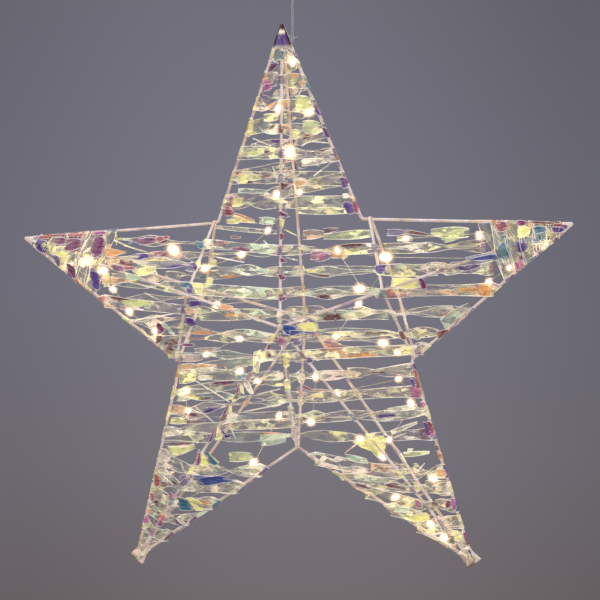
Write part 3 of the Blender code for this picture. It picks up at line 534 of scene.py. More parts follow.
# Where the coating shows a clear colour: x and z in mm, its side (0 for both), half its
# width and half its height in mm, the colour, and how strongly it covers.
FILM_PATCHES = (
    (-268, 90, 0, 7, 7, VIOLET, 0.85), (-260, 94, 0, 11, 3, RED, 0.7), (-229, 86, -1, 10, 10, PURPLE, 0.95),
    (-228, 95, 0, 10, 3, RED, 0.8), (-202, 83, -1, 7, 14, PURPLE, 0.95), (-202, 96, 0, 7, 3, MAGENTA, 0.8),
    (-234, 56, -1, 6, 11, VIOLET, 0.9), (-207, 46, -1, 6, 16, VIOLET, 0.95),
    (-240, 73, -1, 8, 6, YELLOW, 0.9), (-217, 67, -1, 11, 5, WHITE_GLINT, 0.8),
    (-194, 60, -1, 10, 5, YELLOW, 0.9), (-237, 48, 0, 10, 4, RED, 0.6), (-208, 28, 0, 10, 5, RED, 0.6),
    (-195, 18, 0, 8, 4, ORANGE, 0.5), (-216, 89, -1, 5, 13, PINK, 0.4), (273, 88, 0, 8, 5, VIOLET, 0.95),
    (261, 95, 0, 19, 3, MAROON, 0.85), (254, 82, -1, 7, 11, TEAL, 0.6), (238, 87, -1, 7, 5, YELLOW, 0.9),
    (236, 96, 0, 6, 4, PURPLE, 0.9), (216, 93, 0, 7, 5, RED, 0.8), (219, 68, -1, 7, 10, TEAL, 0.8),
    (236, 72, -1, 6, 7, VIOLET, 0.9), (232, 53, 0, 5, 5, MAGENTA, 0.6), (263, 71, 0, 8, 6, PALE, 0.3),
    (26, 239, -1, 7, 7, TEAL, 0.8), (29, 244, -1, 5, 5, YELLOW, 0.7), (24, 264, 0, 6, 6, PALE, 0.5),
    (33, 226, 0, 6, 6, VIOLET, 0.8), (39, 213, 0, 6, 5, RED, 0.6), (48, 190, 0, 7, 6, VIOLET, 0.8),
    (57, 164, 0, 7, 6, RED, 0.7), (64, 140, 0, 7, 6, VIOLET, 0.85), (71, 116, 0, 7, 8, MAGENTA, 0.8),
    (63, 116, 0, 6, 7, VIOLET, 0.9), (-14, 259, 0, 7, 7, PURPLE, 0.85), (-17, 239, 0, 7, 7, MAGENTA, 0.8),
    (-21, 227, 0, 5, 5, BLUE, 0.6), (-33, 209, 0, 7, 7, YELLOW, 0.7), (-37, 188, 0, 7, 7, YELLOW, 0.75),
    (-49, 154, 0, 6, 5, ORANGE, 0.4), (-58, 126, 0, 6, 5, MAGENTA, 0.4), (5, 221, -1, 4, 4, ORANGE, 0.55),
    (5, 198, -1, 4, 4, ORANGE, 0.5), (6, 159, -1, 5, 6, MAROON, 0.85), (7, 137, -1, 5, 6, RED, 0.8),
    (4, 112, -1, 8, 6, PURPLE, 0.9), (-60, 116, 0, 8, 6, RED, 0.75), (-43, 109, -1, 15, 5, YELLOW, 0.6),
    (-151, 88, 0, 18, 5, PURPLE, 0.75), (-144, 73, 0, 13, 5, PURPLE, 0.75), (-175, 62, 0, 14, 5, RED, 0.7),
    (-156, 56, 0, 20, 7, GREEN, 0.45), (-188, 77, 0, 7, 8, ORANGE, 0.85), (-163, -10, 0, 7, 7, VIOLET, 0.9),
    (-131, -23, 0, 7, 8, MAROON, 0.8), (-133, 88, 0, 8, 5, MAROON, 0.8), (-127, 77, 0, 8, 5, ORANGE, 0.6),
    (-91, 83, 0, 5, 6, TEAL, 0.85), (-96, 59, 0, 5, 7, VIOLET, 0.85), (-102, 44, 0, 6, 5, TEAL, 0.85),
    (-97, 38, 0, 4, 6, VIOLET, 0.85), (-90, 25, -1, 8, 5, VIOLET, 0.9), (-99, 5, -1, 8, 6, VIOLET, 0.9),
    (-107, -18, 0, 8, 5, PURPLE, 0.85), (-75, 65, -1, 6, 5, YELLOW, 0.8), (-77, 46, -1, 7, 6, YELLOW, 0.8),
    (-87, 34, -1, 5, 5, YELLOW, 0.75), (-99, 16, 0, 6, 5, ORANGE, 0.35), (-68, 84, -1, 10, 6, MAROON, 0.6),
    (-2, 101, -1, 4, 7, MAROON, 0.8), (1, 87, -1, 4, 10, RED, 0.8), (3, 66, -1, 6, 5, MAROON, 0.8),
    (3, 49, -1, 6, 5, PURPLE, 0.85), (4, 29, -1, 6, 5, PURPLE, 0.85), (-2, 20, -1, 5, 4, VIOLET, 0.6),
    (-19, 79, -1, 14, 8, MINT, 0.35), (-19, 60, -1, 13, 8, MINT, 0.35), (-27, 42, -1, 14, 8, MINT, 0.45),
    (-23, 18, -1, 15, 6, MINT, 0.25), (-26, -5, -1, 15, 7, MINT, 0.35), (8, -2, -1, 14, 8, BLUE, 0.9),
    (29, 1, -1, 13, 7, YELLOW, 0.95), (-1, -15, -1, 5, 5, MAGENTA, 0.7), (14, -16, -1, 6, 5, VIOLET, 0.7),
    (-58, 20, -1, 10, 4, ORANGE, 0.5), (28, 90, -1, 11, 6, ORANGE, 0.3), (46, 94, -1, 8, 4, MAROON, 0.75),
    (69, 89, -1, 19, 7, YELLOW, 0.35), (37, 68, -1, 10, 6, MAGENTA, 0.6), (55, 69, -1, 7, 5, ORANGE, 0.6),
    (71, 69, -1, 13, 6, YELLOW, 0.45), (42, 48, -1, 8, 4, MAROON, 0.9), (43, 28, -1, 8, 4, MAROON, 0.9),
    (51, 8, -1, 10, 5, MAROON, 0.9), (98, 55, 0, 6, 6, VIOLET, 0.9), (105, 42, 0, 5, 6, VIOLET, 0.95),
    (109, 29, 0, 5, 7, RED, 0.75), (48, -20, -1, 14, 7, RED, 0.7), (124, 41, -1, 17, 8, YELLOW, 1.0),
    (141, 38, -1, 6, 7, PURPLE, 0.95), (112, 90, -1, 13, 5, VIOLET, 0.6), (132, 89, -1, 14, 4, MAROON, 0.8),
    (167, 88, 0, 15, 8, GREEN, 0.5), (132, 66, -1, 11, 4, MAROON, 0.7), (121, 26, -1, 6, 4, RED, 0.6),
    (154, -11, 0, 7, 5, RED, 0.7), (151, -17, 0, 4, 4, VIOLET, 0.7), (198, 63, -1, 18, 6, BLUE, 0.75),
    (184, 53, -1, 13, 6, VIOLET, 0.6), (195, 84, -1, 6, 6, PALE, 0.8), (173, 2, 0, 8, 11, MAGENTA, 0.5),
    (197, 29, 0, 8, 7, ORANGE, 0.85), (209, 38, 0, 6, 6, MAGENTA, 0.7), (125, -67, 0, 6, 14, MAGENTA, 0.8),
    (133, -110, 0, 5, 13, PURPLE, 0.85), (89, -119, -1, 11, 8, YELLOW, 0.85),
    (-110, -185, 0, 16, 8, BLUE, 0.6), (-87, -160, 0, 16, 7, BLUE, 0.6), (-27, -29, -1, 5, 7, VIOLET, 0.6),
    (-45, -49, -1, 6, 7, TEAL, 0.6), (-58, -78, -1, 7, 7, YELLOW, 0.8), (-76, -101, -1, 7, 7, VIOLET, 0.6),
    (-92, -127, -1, 7, 7, TEAL, 0.6),
)


def square_to(direction, axis):
    return (direction - axis * direction.dot(axis)).normalized()


class Crossing:
    """Where the ribbon meets a wire: turn is -1 or 1 at a row's two ends, else 0."""

    def __init__(self, place, along, outward, turn=0, open_depth=0.0):
        self.place, self.along, self.outward = place, along, outward
        self.turn, self.open_depth = turn, open_depth


def used_share(turn_share, quarters):
    """How much of its pitch the ribbon has moved on after that share of a turn."""
    quarter = min(int(turn_share * 4), 3)
    return sum(quarters[:quarter]) + quarters[quarter] * (turn_share * 4 - quarter)


def row_end(wires, along, across, station, turn, open_ends):
    """The end of a row: on the outline wire, or in the open where a wrapped tip begins."""
    if open_ends:
        name = "left" if turn < 0 else "right"
        axis = AXES[ARM_NAMES.index(name)]
        reach = TIP_REACH - open_ends[name]
        spot = Vector(((reach + station * axis.z) / axis.x, 0, -station))
        depth = skin_depth(spot.x, spot.z)
        if depth > WIRE_PITCH:
            return Crossing(spot, along.copy(), across * turn, turn, depth)
    found = [wire.crossing(along, station) for wire in wires if wire.side == 0]
    place, way = max(filter(None, found), key=lambda item: item[0].dot(across) * turn)
    way = way if way.dot(along) > 0 else -way
    return Crossing(place, way, square_to(across * turn, way), turn)


def crossings_of_turn(wires, along, across, station, pitch, quarters, open_ends):
    """One turn's crossings, each with its share of the turn: 0 at one end, 0.5 at the other."""
    found = []
    for share, turn in ((0.0, -1), (0.5, 1)):
        end_station = station + pitch * used_share(share, quarters)
        found.append((share, row_end(wires, along, across, end_station, turn, open_ends)))
    low, high = (end.place.dot(across) for _, end in found)
    for wire in wires:
        share, hit = 0.25, None
        for _ in range(4 if wire.side else 0):
            hit = wire.crossing(along, station + pitch * used_share(share, quarters))
            reach = (hit[0].dot(across) - low) / (high - low) if hit else 0
            if not ROW_END < reach < 1 - ROW_END:
                hit = None
                break
            share = reach / 2 if wire.side < 0 else 1 - reach / 2
        if hit and (hit[0] - Vector((0, wire.side * HALF_DEPTH, 0))).xz.length > HUB_ROOM:
            way = hit[1] if hit[1].dot(along) > 0 else -hit[1]
            found.append((share, Crossing(hit[0], way, square_to(Vector((0, wire.side, 0)), way))))
    return sorted(found, key=lambda item: item[0])


def winding(wires, along, across, first, pitch, turns, quarters, open_ends=None):
    """The crossings of one unbroken ribbon, in order."""
    crossings = []
    for turn in range(int(turns + 0.99)):
        found = crossings_of_turn(wires, along, across, first + pitch * turn, pitch, quarters, open_ends)
        crossings += [crossing for share, crossing in found if turn + share <= turns]
    if turns == int(turns):
        crossings.append(row_end(wires, along, across, first + pitch * turns, -1, open_ends))
    return crossings


def light_at(spot):
    """The film's painted glow there, as a warm colour: a plain level everywhere and more near each light."""
    glow = GLOW_PLAIN
    for place, _, power in led_places:
        away = (place - spot).length_squared
        if away < GLOW_REACH ** 2:
            glow += power * sum(share * exp(-away / reach ** 2) for share, reach in (GLOW_CLOSE, GLOW_WIDE))
    return [min(glow, GLOW_MOST) * part for part in GLOW_TONE]


def tint_at(spot, own):
    """The film's colour there: (colour, how strongly it covers, how hazy the film is)."""
    x, z = spot.x / MM, spot.z / MM
    for ax, az, aside, rx, rz, colour, cover in FILM_PATCHES:
        away = ((x - ax) / rx) ** 2 + ((z - az) / rz) ** 2
        if away < 1 and aside * spot.y >= 0:
            return colour, cover * min(1, PATCH_FADE * (1 - away)), PATCH_HAZE
    return own


class Strip:
    """A ribbon's mesh in the making: rings of points across it, with colour, coating cover and haze, a painted
    edge highlight and a painted glow.
    """

    def __init__(self, seed):
        self.shape = bmesh.new()
        self.uv = self.shape.loops.layers.uv.new("film")
        self.tint = self.shape.verts.layers.float_color.new("tint")
        self.cover_haze_edge_glint = self.shape.verts.layers.float_color.new("cover_haze_edge_glint")
        self.glow = self.shape.verts.layers.float_color.new("glow")
        self.seed = seed
        self.last = None
        self.run = 0.0

    def add_point(self, spot, lift, look, rim):
        """A point of the film; its look is the colour, how strongly it covers and the haze, and rim is how
        much painted highlight it takes as an edge.
        """
        colour, cover, haze = look
        vert = self.shape.verts.new(HUNG @ (spot + lift))
        vert[self.tint] = (*colour, 1)
        vert[self.cover_haze_edge_glint] = (cover, haze, rim, 1)
        vert[self.glow] = (*light_at(spot), 1)
        return vert

    def add_face(self, corners):
        face = self.shape.faces.new([vert for vert, _ in corners])
        for loop, (_, uv) in zip(face.loops, corners):
            loop[self.uv].uv = uv
        return face

    def ring(self, place, across, normal, half, shade, crease, start=False):
        """The next ring of points across the ribbon, rippled by up to about its crease."""
        ring = []
        rim = min(RIM / half, RIM_MOST)
        for s in (-1, rim - 1, -0.6, -0.2, 0.2, 0.6, 1 - rim, 1):
            spot = place + across * (half * s)
            ripple = noise.noise(spot * RIPPLES_OVER + Vector((self.seed, 0, 0)))
            own = Vector((self.run * RIPPLES_ALONG, s * RIPPLES_ACROSS, self.seed * 3.1))
            ripple += 0.6 * noise.noise(own)
            vert = self.add_point(spot, normal * (ripple * crease), shade(s, spot), 1 if abs(s) == 1 else 0)
            ring.append((vert, (self.run, half * s + self.seed)))
        if self.last and not start:
            for (a, b), (d, c) in zip(zip(self.last, self.last[1:]), zip(ring, ring[1:])):
                self.add_face((a, d, c, b)).smooth = True
        self.last = ring

    def finish(self, name, material, replaced=None):
        mesh = bpy.data.meshes.new(name)
        self.shape.to_mesh(mesh)
        self.shape.free()
        piece = bpy.data.objects.new(name, mesh)
        bpy.context.scene.collection.objects.link(piece)
        mesh.materials.append(material)
        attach(piece, "star")
        if replaced:
            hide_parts(replaced)


# The film's finish: pale and see-through where it lies flat, deep coloured where the coating
# reflects, with painted glints and shade on its facets, painted highlights along its creases
# and edges, and a painted warm glow near each light and fainter all over.
film, tree, shader = new_finish("iridescent film")
sheet_uv = add_node(tree, "UVMap", {}, uv_map="film").outputs[0]
wobble = add_node(tree, "TexNoise", {"Scale": 160, "Detail": 3, "Vector": sheet_uv}).outputs["Color"]
warp = add_node(tree, "Mix", {"Factor": 0.003, "A": sheet_uv, "B": wobble}, data_type="VECTOR")
stretched, streaked = (
    add_node(tree, "Mapping", {"Rotation": (0, 0, lean), "Scale": scale, "Vector": warp.outputs["Result"]})
    for lean, scale in ((0.25, (0.5, 1.2, 1)), (0.12, (0.07, 1, 1)))
)
facets, crease_glint_cells = (
    add_node(tree, "TexVoronoi", {"Scale": 240, "Vector": stretched.outputs[0]}, feature=feature)
    for feature in ("F1", "DISTANCE_TO_EDGE")
)
facet = add_node(tree, "SeparateColor", {0: facets.outputs["Color"]}).outputs[0]
fine = add_node(tree, "TexNoise", {"Scale": 700, "Detail": 2, "Vector": streaked.outputs[0]})
tint, cover_haze_edge_glint, glow = (
    add_node(tree, "Attribute", {}, attribute_name=name).outputs["Color"]
    for name in ("tint", "cover_haze_edge_glint", "glow")
)
covered, haze_and_glint, edge_glint = add_node(tree, "SeparateColor", {0: cover_haze_edge_glint}).outputs
# Painted glints and shade: each random facet of the film gets a tone from dark to near white, and the bright
# ones show more, standing in for crinkles that catch the light. The haze sets how strongly these glints and
# the crease highlights show.
facet_glint_tones = add_ramp(tree, facet, (
    (0, (0.24, 0.22, 0.19)), (0.3, (0.50, 0.45, 0.32)), (0.55, (0.90, 0.84, 0.50)),
    (0.72, (0.68, 0.82, 0.64)), (0.86, (0.96, 0.80, 0.66)), (1, (1.0, 0.97, 0.80)),
)).outputs["Color"]
plain = maths(tree, "SUBTRACT", 1, maths(tree, "MULTIPLY", covered, 0.85))
# Painted highlights on the clear parts: near-white lines along the facets' edges and thin pale streaks along
# the ribbon, standing in for creases that catch the light.
crease_glint = maths(tree, "MINIMUM", maths(tree, "MULTIPLY", crease_glint_cells.outputs["Distance"], 14), 1)
crease_glint = maths(tree, "MULTIPLY", maths(tree, "SUBTRACT", 1, crease_glint), haze_and_glint)
crease_glint = maths(tree, "MULTIPLY", crease_glint, plain)
line = maths(tree, "MULTIPLY", maths(tree, "SUBTRACT", fine.outputs["Fac"], 0.56), 7)
line = maths(tree, "MULTIPLY", maths(tree, "MAXIMUM", maths(tree, "MINIMUM", line, 1), 0), plain)
line = maths(tree, "MULTIPLY", line, maths(tree, "MINIMUM", maths(tree, "ADD", haze_and_glint, 0.35), 1))
glint = maths(tree, "MULTIPLY", maths(tree, "POWER", facet, 1.8), 1.5)
painted_creases = maths(tree, "ADD", maths(tree, "MULTIPLY", crease_glint, 0.4), maths(tree, "MULTIPLY", line, 0.5))
texture = maths(tree, "ADD", maths(tree, "MULTIPLY", glint, haze_and_glint), painted_creases)
alpha = maths(tree, "ADD", maths(tree, "ADD", texture, maths(tree, "MULTIPLY", edge_glint, 0.9)), 0.08)
alpha = maths(tree, "MAXIMUM", alpha, maths(tree, "MULTIPLY", covered, 0.95))
clear_colour = mixed(tree, "MULTIPLY", 0.55, facet_glint_tones, tint)
deep_colour = mixed(tree, "MULTIPLY", 0.45, tint, facet_glint_tones)
colour = mixed(tree, "MIX", covered, clear_colour, deep_colour)
colour = mixed(tree, "MIX", maths(tree, "MULTIPLY", crease_glint, 0.7), colour, (1.0, 0.94, 0.84, 1))
colour = mixed(tree, "MIX", maths(tree, "MULTIPLY", line, 0.8), colour, (1.0, 0.92, 0.82, 1))
# Painted highlight: the ribbon's edges turn near white and more opaque, as if catching the light.
colour = mixed(tree, "MIX", edge_glint, colour, (1.0, 0.92, 0.86, 1))
# Painted glow: the film's colour times its baked glow is its emission colour, held back where the coating
# covers in a deep colour.
green_part = add_node(tree, "SeparateColor", {0: tint}).outputs[1]
glow_cut = maths(tree, "MULTIPLY", covered, maths(tree, "SUBTRACT", 0.85, green_part))
lit = mixed(tree, "MIX", glow_cut, mixed(tree, "MULTIPLY", 1.0, colour, glow), (0, 0, 0, 1))
crease = add_node(tree, "Bump", {
    "Strength": 0.55, "Distance": 0.6 * MM, "Height": facets.outputs["Distance"]})
set_inputs(tree, shader, {
    "Base Color": colour, "Alpha": maths(tree, "MINIMUM", alpha, 0.98), "Emission Color": lit,
    "Emission Strength": 1, "Roughness": 0.25, "Specular IOR Level": 0.2, "Coat Weight": 0.08,
    "Coat Roughness": 0.05, "Normal": crease.outputs["Normal"],
})


def lift_over(crossing, before, after):
    """The ribbon's middle over a wire, high enough to clear the wire where it drops away."""
    lift = FILM_LIFT
    for other in (before, after):
        chord = other - crossing.place
        fall = -chord.dot(crossing.outward)
        steep = atan2(max(fall, 0), (chord + crossing.outward * fall).length)
        lift = max(lift, FILM_LIFT / cos(min(steep, STEEPEST_FALL)))
    return crossing.place + crossing.outward * lift


def end_places(crossing):
    """Five places round the outline wire where a row turns back, front to back or back to front."""
    places = []
    for step in (-2, -1, 0, 1, 2):
        deep = Vector((0, crossing.turn, 0))
        if crossing.open_depth:
            reach = 1 - abs(step) / 2
            spot = crossing.place + deep * (crossing.open_depth * sin(step * pi / 4))
            places.append((spot + crossing.outward * (reach * OPEN_BULGE), crossing.outward))
        else:
            out = crossing.outward * cos(step * pi / 4) + deep * sin(step * pi / 4)
            places.append((crossing.place + out * FILM_LIFT, out))
    return places


# How the ribbon takes its colours and its way of lying. Each is drawn by chance from these,
# as a range or as how often each one comes up.
WRAP_COVERS = (0.55, 0.9)
GATHER_COLOURS = {VIOLET: 3, PURPLE: 2, TEAL: 1, MAROON: 2, ORANGE: 2, YELLOW: 6, PALE: 5}
GATHER_COVERS = (0.45, 0.9)
GATHER_HAZE = 0.85
SPAN_WIDTHS = (0.85, 1.06)
SPAN_TILTS = (-0.5, 0.5)
SPAN_SWAYS = (-0.8, 0.8)
SPAN_OPENINGS = (0.35, 0.65)
SPAN_COLOURS = {PALE: 5, PINK: 5, GREEN: 2, YELLOW: 4, MINT: 2}
SPAN_COVERS = (0, 0.1, 0.25, 0.4)
HAZE_PLACES, HAZE_SPREADS = (0.1, 0.9), (0.10, 0.24)
HAZE_LEAST, HAZE_MOST = (0.0, 0.10), (0.6, 1.0)
STREAK_CHANCE = 0.3
STREAK_COLOURS = (MAROON, MAROON, PURPLE, VIOLET, YELLOW, ORANGE)
STREAK_PLACES, STREAK_SIDES = (0.2, 0.8), (-0.7, 0, 0.7)
STREAK_LENGTH, STREAK_WIDTH = 0.15, 0.6
STREAK_COVER, STREAK_HAZE = 0.95, 0.6


def drawn(rand, chances):
    """One of the keys, drawn by how often each comes up."""
    return rand.choices(list(chances), list(chances.values()))[0]


def gathered_half(crossing, style):
    """Half the ribbon's width where it lies on a wire."""
    return style["end" if crossing.turn else "gather"] * MM / 2


def lay_ribbon(strip, crossings, style, seed):
    """Runs a strip of film over its crossings, gathered on each and creased in between."""
    rand = random.Random(seed)
    anchors = []
    for crossing in crossings:
        anchors.append(end_places(crossing) if crossing.turn else [(crossing.place, crossing.outward)])
    for serial, crossing in enumerate(crossings):
        if not crossing.turn:
            before, after = anchors[serial - 1][-1][0], anchors[min(serial + 1, len(anchors) - 1)][0][0]
            way = square_to(after - before, crossing.outward)
            spot = lift_over(crossing, before, after)
            steps = (-GATHER_STEP, 0, GATHER_STEP)
            anchors[serial] = [(spot + way * step, crossing.outward) for step in steps]
    anchors[0] = anchors[0][2:]
    if crossings[-1].turn:
        anchors[-1] = anchors[-1][:3]
    first = True
    for serial, (crossing, places) in enumerate(zip(crossings, anchors)):
        half = gathered_half(crossing, style)
        if not first:
            span(strip, crossings[serial - 1], anchors[serial - 1][-1], crossing, places[0], style, rand)
        if crossing.turn:
            inner, outer = rand.choice(WRAP_COLOURS[crossing.turn])
            strong = rand.uniform(*WRAP_COVERS)
        else:
            inner = drawn(rand, GATHER_COLOURS)
            outer, strong = inner, rand.uniform(*GATHER_COVERS)
        for number, (spot, out) in enumerate(places):
            own = (outer if number == len(places) // 2 else inner, strong, GATHER_HAZE)
            strip.run += GATHER_RUN
            way = square_to(crossing.along, out)
            strip.ring(spot, way, out, half, lambda s, spot: tint_at(spot, own), GATHER_CREASE, start=first)
            first = False


def lie_at(kind, t, opening, twist, ends, middle):
    """Half the ribbon's width and its lean at that share of a span, for one way of lying."""
    if kind == "rope":
        opened = exp(-((t - opening) / ROPE_OPENING) ** 2)
        return ROPE_HALF + (middle - ROPE_HALF) * opened, 1.1 * (t - opening)
    if kind == "lens":
        swell = sin(pi * min(max((t - opening) * 0.9 + 0.5, 0), 1)) ** 0.8
        lean = 0.9 * (1 - sin(pi * t)) * (1 if t < opening else -1)
        return max(middle * (0.25 + 0.75 * swell), LENS_HALF), lean
    fan = min(t / FAN_SHARE, (1 - t) / FAN_SHARE, 1)
    edge = ends[0] if t < 0.5 else ends[1]
    half = edge + (middle - edge) * (fan * fan * (3 - 2 * fan))
    return half, twist * (t * t * (3 - 2 * t) if kind == "twist" else sin(pi * t))


def span(strip, crossing, start, other, end, style, rand):
    """The film between two wires: it fans out of one gather, twists or folds, and closes again."""
    length = (end[0] - start[0]).length
    steps = max(3, int(length / FILM_STEP))
    ends = gathered_half(crossing, style), gathered_half(other, style)
    kind = drawn(rand, style["kinds"]) if length > SHORT_SPAN else "flat"
    middle = style["wide"] * MM / 2 * rand.uniform(*SPAN_WIDTHS)
    way = (end[0] - start[0]).normalized()
    tilt, turned = rand.uniform(*SPAN_TILTS), pi * rand.choice((-1, 1))
    twist = {"tilt": tilt, "twist": turned}.get(kind, 0)
    opening = rand.uniform(*SPAN_OPENINGS)
    sway = rand.uniform(*SPAN_SWAYS) * MM
    colour = drawn(rand, SPAN_COLOURS)
    cover = rand.choice(SPAN_COVERS)
    window, spread = rand.uniform(*HAZE_PLACES), rand.uniform(*HAZE_SPREADS)
    low, high = rand.uniform(*HAZE_LEAST), rand.uniform(*HAZE_MOST)
    streak = rand.choice(STREAK_COLOURS) if rand.random() < STREAK_CHANCE else None
    streak_at, streak_side = rand.uniform(*STREAK_PLACES), rand.choice(STREAK_SIDES)

    def shade(s, spot):
        if streak:
            away = ((t - streak_at) / STREAK_LENGTH) ** 2 + ((s - streak_side) / STREAK_WIDTH) ** 2
            if away < 1:
                return tint_at(spot, (streak, STREAK_COVER * min(1, 2.5 * (1 - away)), STREAK_HAZE))
        return tint_at(spot, (colour, cover * haze, haze))

    start_way = square_to(crossing.along, start[1])
    end_way = square_to(other.along, end[1])
    if start_way.dot(end_way) < 0:
        end_way = -end_way
    for step in range(1, steps):
        t = step / steps
        spot = start[0].lerp(end[0], t)
        out = square_to(start[1].lerp(end[1], t), way)
        across = square_to(start_way.lerp(end_way, t), way)
        across = square_to(across, out)
        rise = sin(pi * t)
        half, lean = lie_at(kind, t, opening, twist, ends, middle)
        across = Matrix.Rotation(lean, 3, way) @ across
        normal = across.cross(way)
        spot = spot + across * (sway * rise) - out * (SPAN_HOLLOW * rise)
        bunched = 0.8 * exp(-(t / BUNCH_SHARE) ** 2) + 0.8 * exp(-((1 - t) / BUNCH_SHARE) ** 2)
        haze = min((low + (high - low) * exp(-((t - window) / spread) ** 2) + bunched) * style["veil"], 1)
        strip.run += length / steps
        strip.ring(spot, across, normal, half, shade, SPAN_CREASE * min(1, 3 * rise))
    if kind == "twist":
        other.along = -other.along


# Film folded over three of the tips: a dark narrow cap on top, and a blunt clear pouch on
# each lower tip, pleated round the weld and pressed flat at its outer end.

WRAP_POINTS = 20
# The mouth of each wrapped tip takes a painted edge highlight of this strength.
WRAP_MOUTH_GLINT = 0.3
WRAP_SEED = 40
CAP_STATIONS = (
    (276, 10.6, 5.4), (280, 9.2, 4.9), (285.5, 7.4, 4.6), (289, 5.9, 4), (292.5, 4.6, 3.2),
    (296, 3.2, 2.5), (300, 1.9, 1.9), (300.3, 0.6, 0.6),
)
POUCH_STATIONS = (
    (284, 7.9, 4.9), (288, 6.9, 4.4), (292, 6.6, 4), (297, 7.8, 3.3), (302.6, 9, 1.4), (303, 8.7, 0.3),
)


def wrap_tip(name, replaced, arm, stations, shades, draw_in):
    """A pleated sleeve from its mouth to its closed end: (reach, half width, half depth) in mm."""
    axis = AXES[arm]
    aside = Vector((0, 1, 0)).cross(axis)
    strip = Strip(arm + WRAP_SEED)
    rings = []
    for row, station in enumerate(stations):
        reach, half_width, half_depth = (size * MM for size in station)
        ring = []
        for number in range(WRAP_POINTS):
            angle = tau * number / WRAP_POINTS
            pleat = 1 + draw_in * (number % 2) * (1 - row / len(stations))
            spot = axis * reach + aside * (half_width * pleat * cos(angle))
            spot.y -= half_depth * pleat * sin(angle)
            look = shades(cos(angle), TIP_REACH - reach)
            vert = strip.add_point(spot, Vector((0, 0, 0)), look, 0 if row else WRAP_MOUTH_GLINT)
            ring.append((vert, (reach, angle * half_width + arm)))
        rings.append(ring)
    for inner, outer in zip(rings, rings[1:]):
        for number in range(WRAP_POINTS):
            strip.add_face((inner[number], outer[number], outer[number - 1], inner[number - 1]))
    strip.add_face(rings[-1])
    bmesh.ops.recalc_face_normals(strip.shape, faces=strip.shape.faces)
    strip.finish(name, film, replaced)


CAP_MOUTH, CAP_POINT, CAP_SIDES = 22 * MM, 6 * MM, 0.6
CAP_BAND, CAP_BAND_HALF = 9 * MM, 1.5 * MM
POUCH_PRESSED, POUCH_SIDES = -2 * MM, 0.93


def cap_shade(across, down):
    """Clear at its mouth, violet with one painted bright highlight band further up, dark at its sides and
    point.
    """
    if down > CAP_MOUTH:
        return (0.26, 0.17, 0.20), 0.6, 0.35
    if down < CAP_POINT or abs(across) > CAP_SIDES:
        return (0.055, 0.012, 0.016), 1, 0.4
    if abs(down - CAP_BAND) < CAP_BAND_HALF:
        return WHITE_GLINT, 1, 1
    return (0.10, 0.045, 0.26), 0.95, 0.5


def pouch_shade(across, down):
    """Pale and pink, with a deeper hem at its sides and its pressed end."""
    if down < POUCH_PRESSED or abs(across) > POUCH_SIDES:
        return (MAROON if across > 0 else PINK), 0.9, 0.7
    return (PINK if across > 0.2 else PALE), 0.35, 0.75


wrap_tip("top_cap", "film_cap_top", 0, CAP_STATIONS, cap_shade, 0.06)
for arm_name in ("lower_right", "lower_left"):
    wrap_tip(f"{arm_name}_pouch", f"film_cap_{arm_name}", ARM_NAMES.index(arm_name),
             POUCH_STATIONS, pouch_shade, 0.05)


# The ribbon's runs: one over the top arm, one round each side tip, one on each lower arm
# and four over the body, each wound without a break from its first wire to its last.

DOWN, RIGHT, BACKWARD = Vector((0, 0, -1)), Vector((1, 0, 0)), Vector((0, 1, 0))
# Widths on a wire, at a row's end and between wires in mm, how often each way of lying
# comes up between two wires, and how cloudy the film looks.
STYLES = {
    "top": {
        "gather": 10, "end": 14, "wide": 15, "veil": 0.9, "kinds": {"twist": 5, "lens": 2, "tilt": 2},
    },
    "body": {
        "gather": 11, "end": 14, "wide": 12, "veil": 0.9,
        "kinds": {"lens": 4, "twist": 2, "tilt": 3, "rope": 3},
    },
    "tip": {"gather": 12, "end": 12, "wide": 12.6, "veil": 0.4, "kinds": {"flat": 1}},
    "lower": {
        "gather": 11, "end": 14, "wide": 13, "veil": 0.9, "kinds": {"tilt": 3, "twist": 3, "lens": 2},
    },
}
EVEN = (0.25, 0.25, 0.25, 0.25)
DROPS_BEHIND = (0.1, 0.1, 0.4, 0.4)
DROPS_EARLY = (0.7, 0.1, 0.1, 0.1)
DROPS_LATE = (0, 0, 0.5, 0.5)
TOP_START, TOP_END, TOP_TURNS = 29 * MM, 8.85 * MM, 6.5
TIP_PITCH, TIP_GAP = 13.2 * MM, 1.2 * MM
TIP_RUNS = {"left": (18 * MM, 5.5), "right": (17 * MM, 5)}
LOWER_START, LOWER_END, LOWER_TURNS = 10.8 * MM, 19.7 * MM, 5
BODY_START, BODY_MIDDLE, BODY_BREAK, BODY_END = 13.4 * MM, 11.3 * MM, 11 * MM, 3.35 * MM


def add_film(name, replaced, crossings, style, seed):
    """Lays one run of film, in place of the CAD's plain one."""
    strip = Strip(seed)
    lay_ribbon(strip, crossings, STYLES[style], seed)
    strip.finish(name, film, replaced)


def own_wires(arm_name):
    return [wire for wire in WIRES if wire.name in (f"outline_{arm_name}", f"ridge_{arm_name}")]


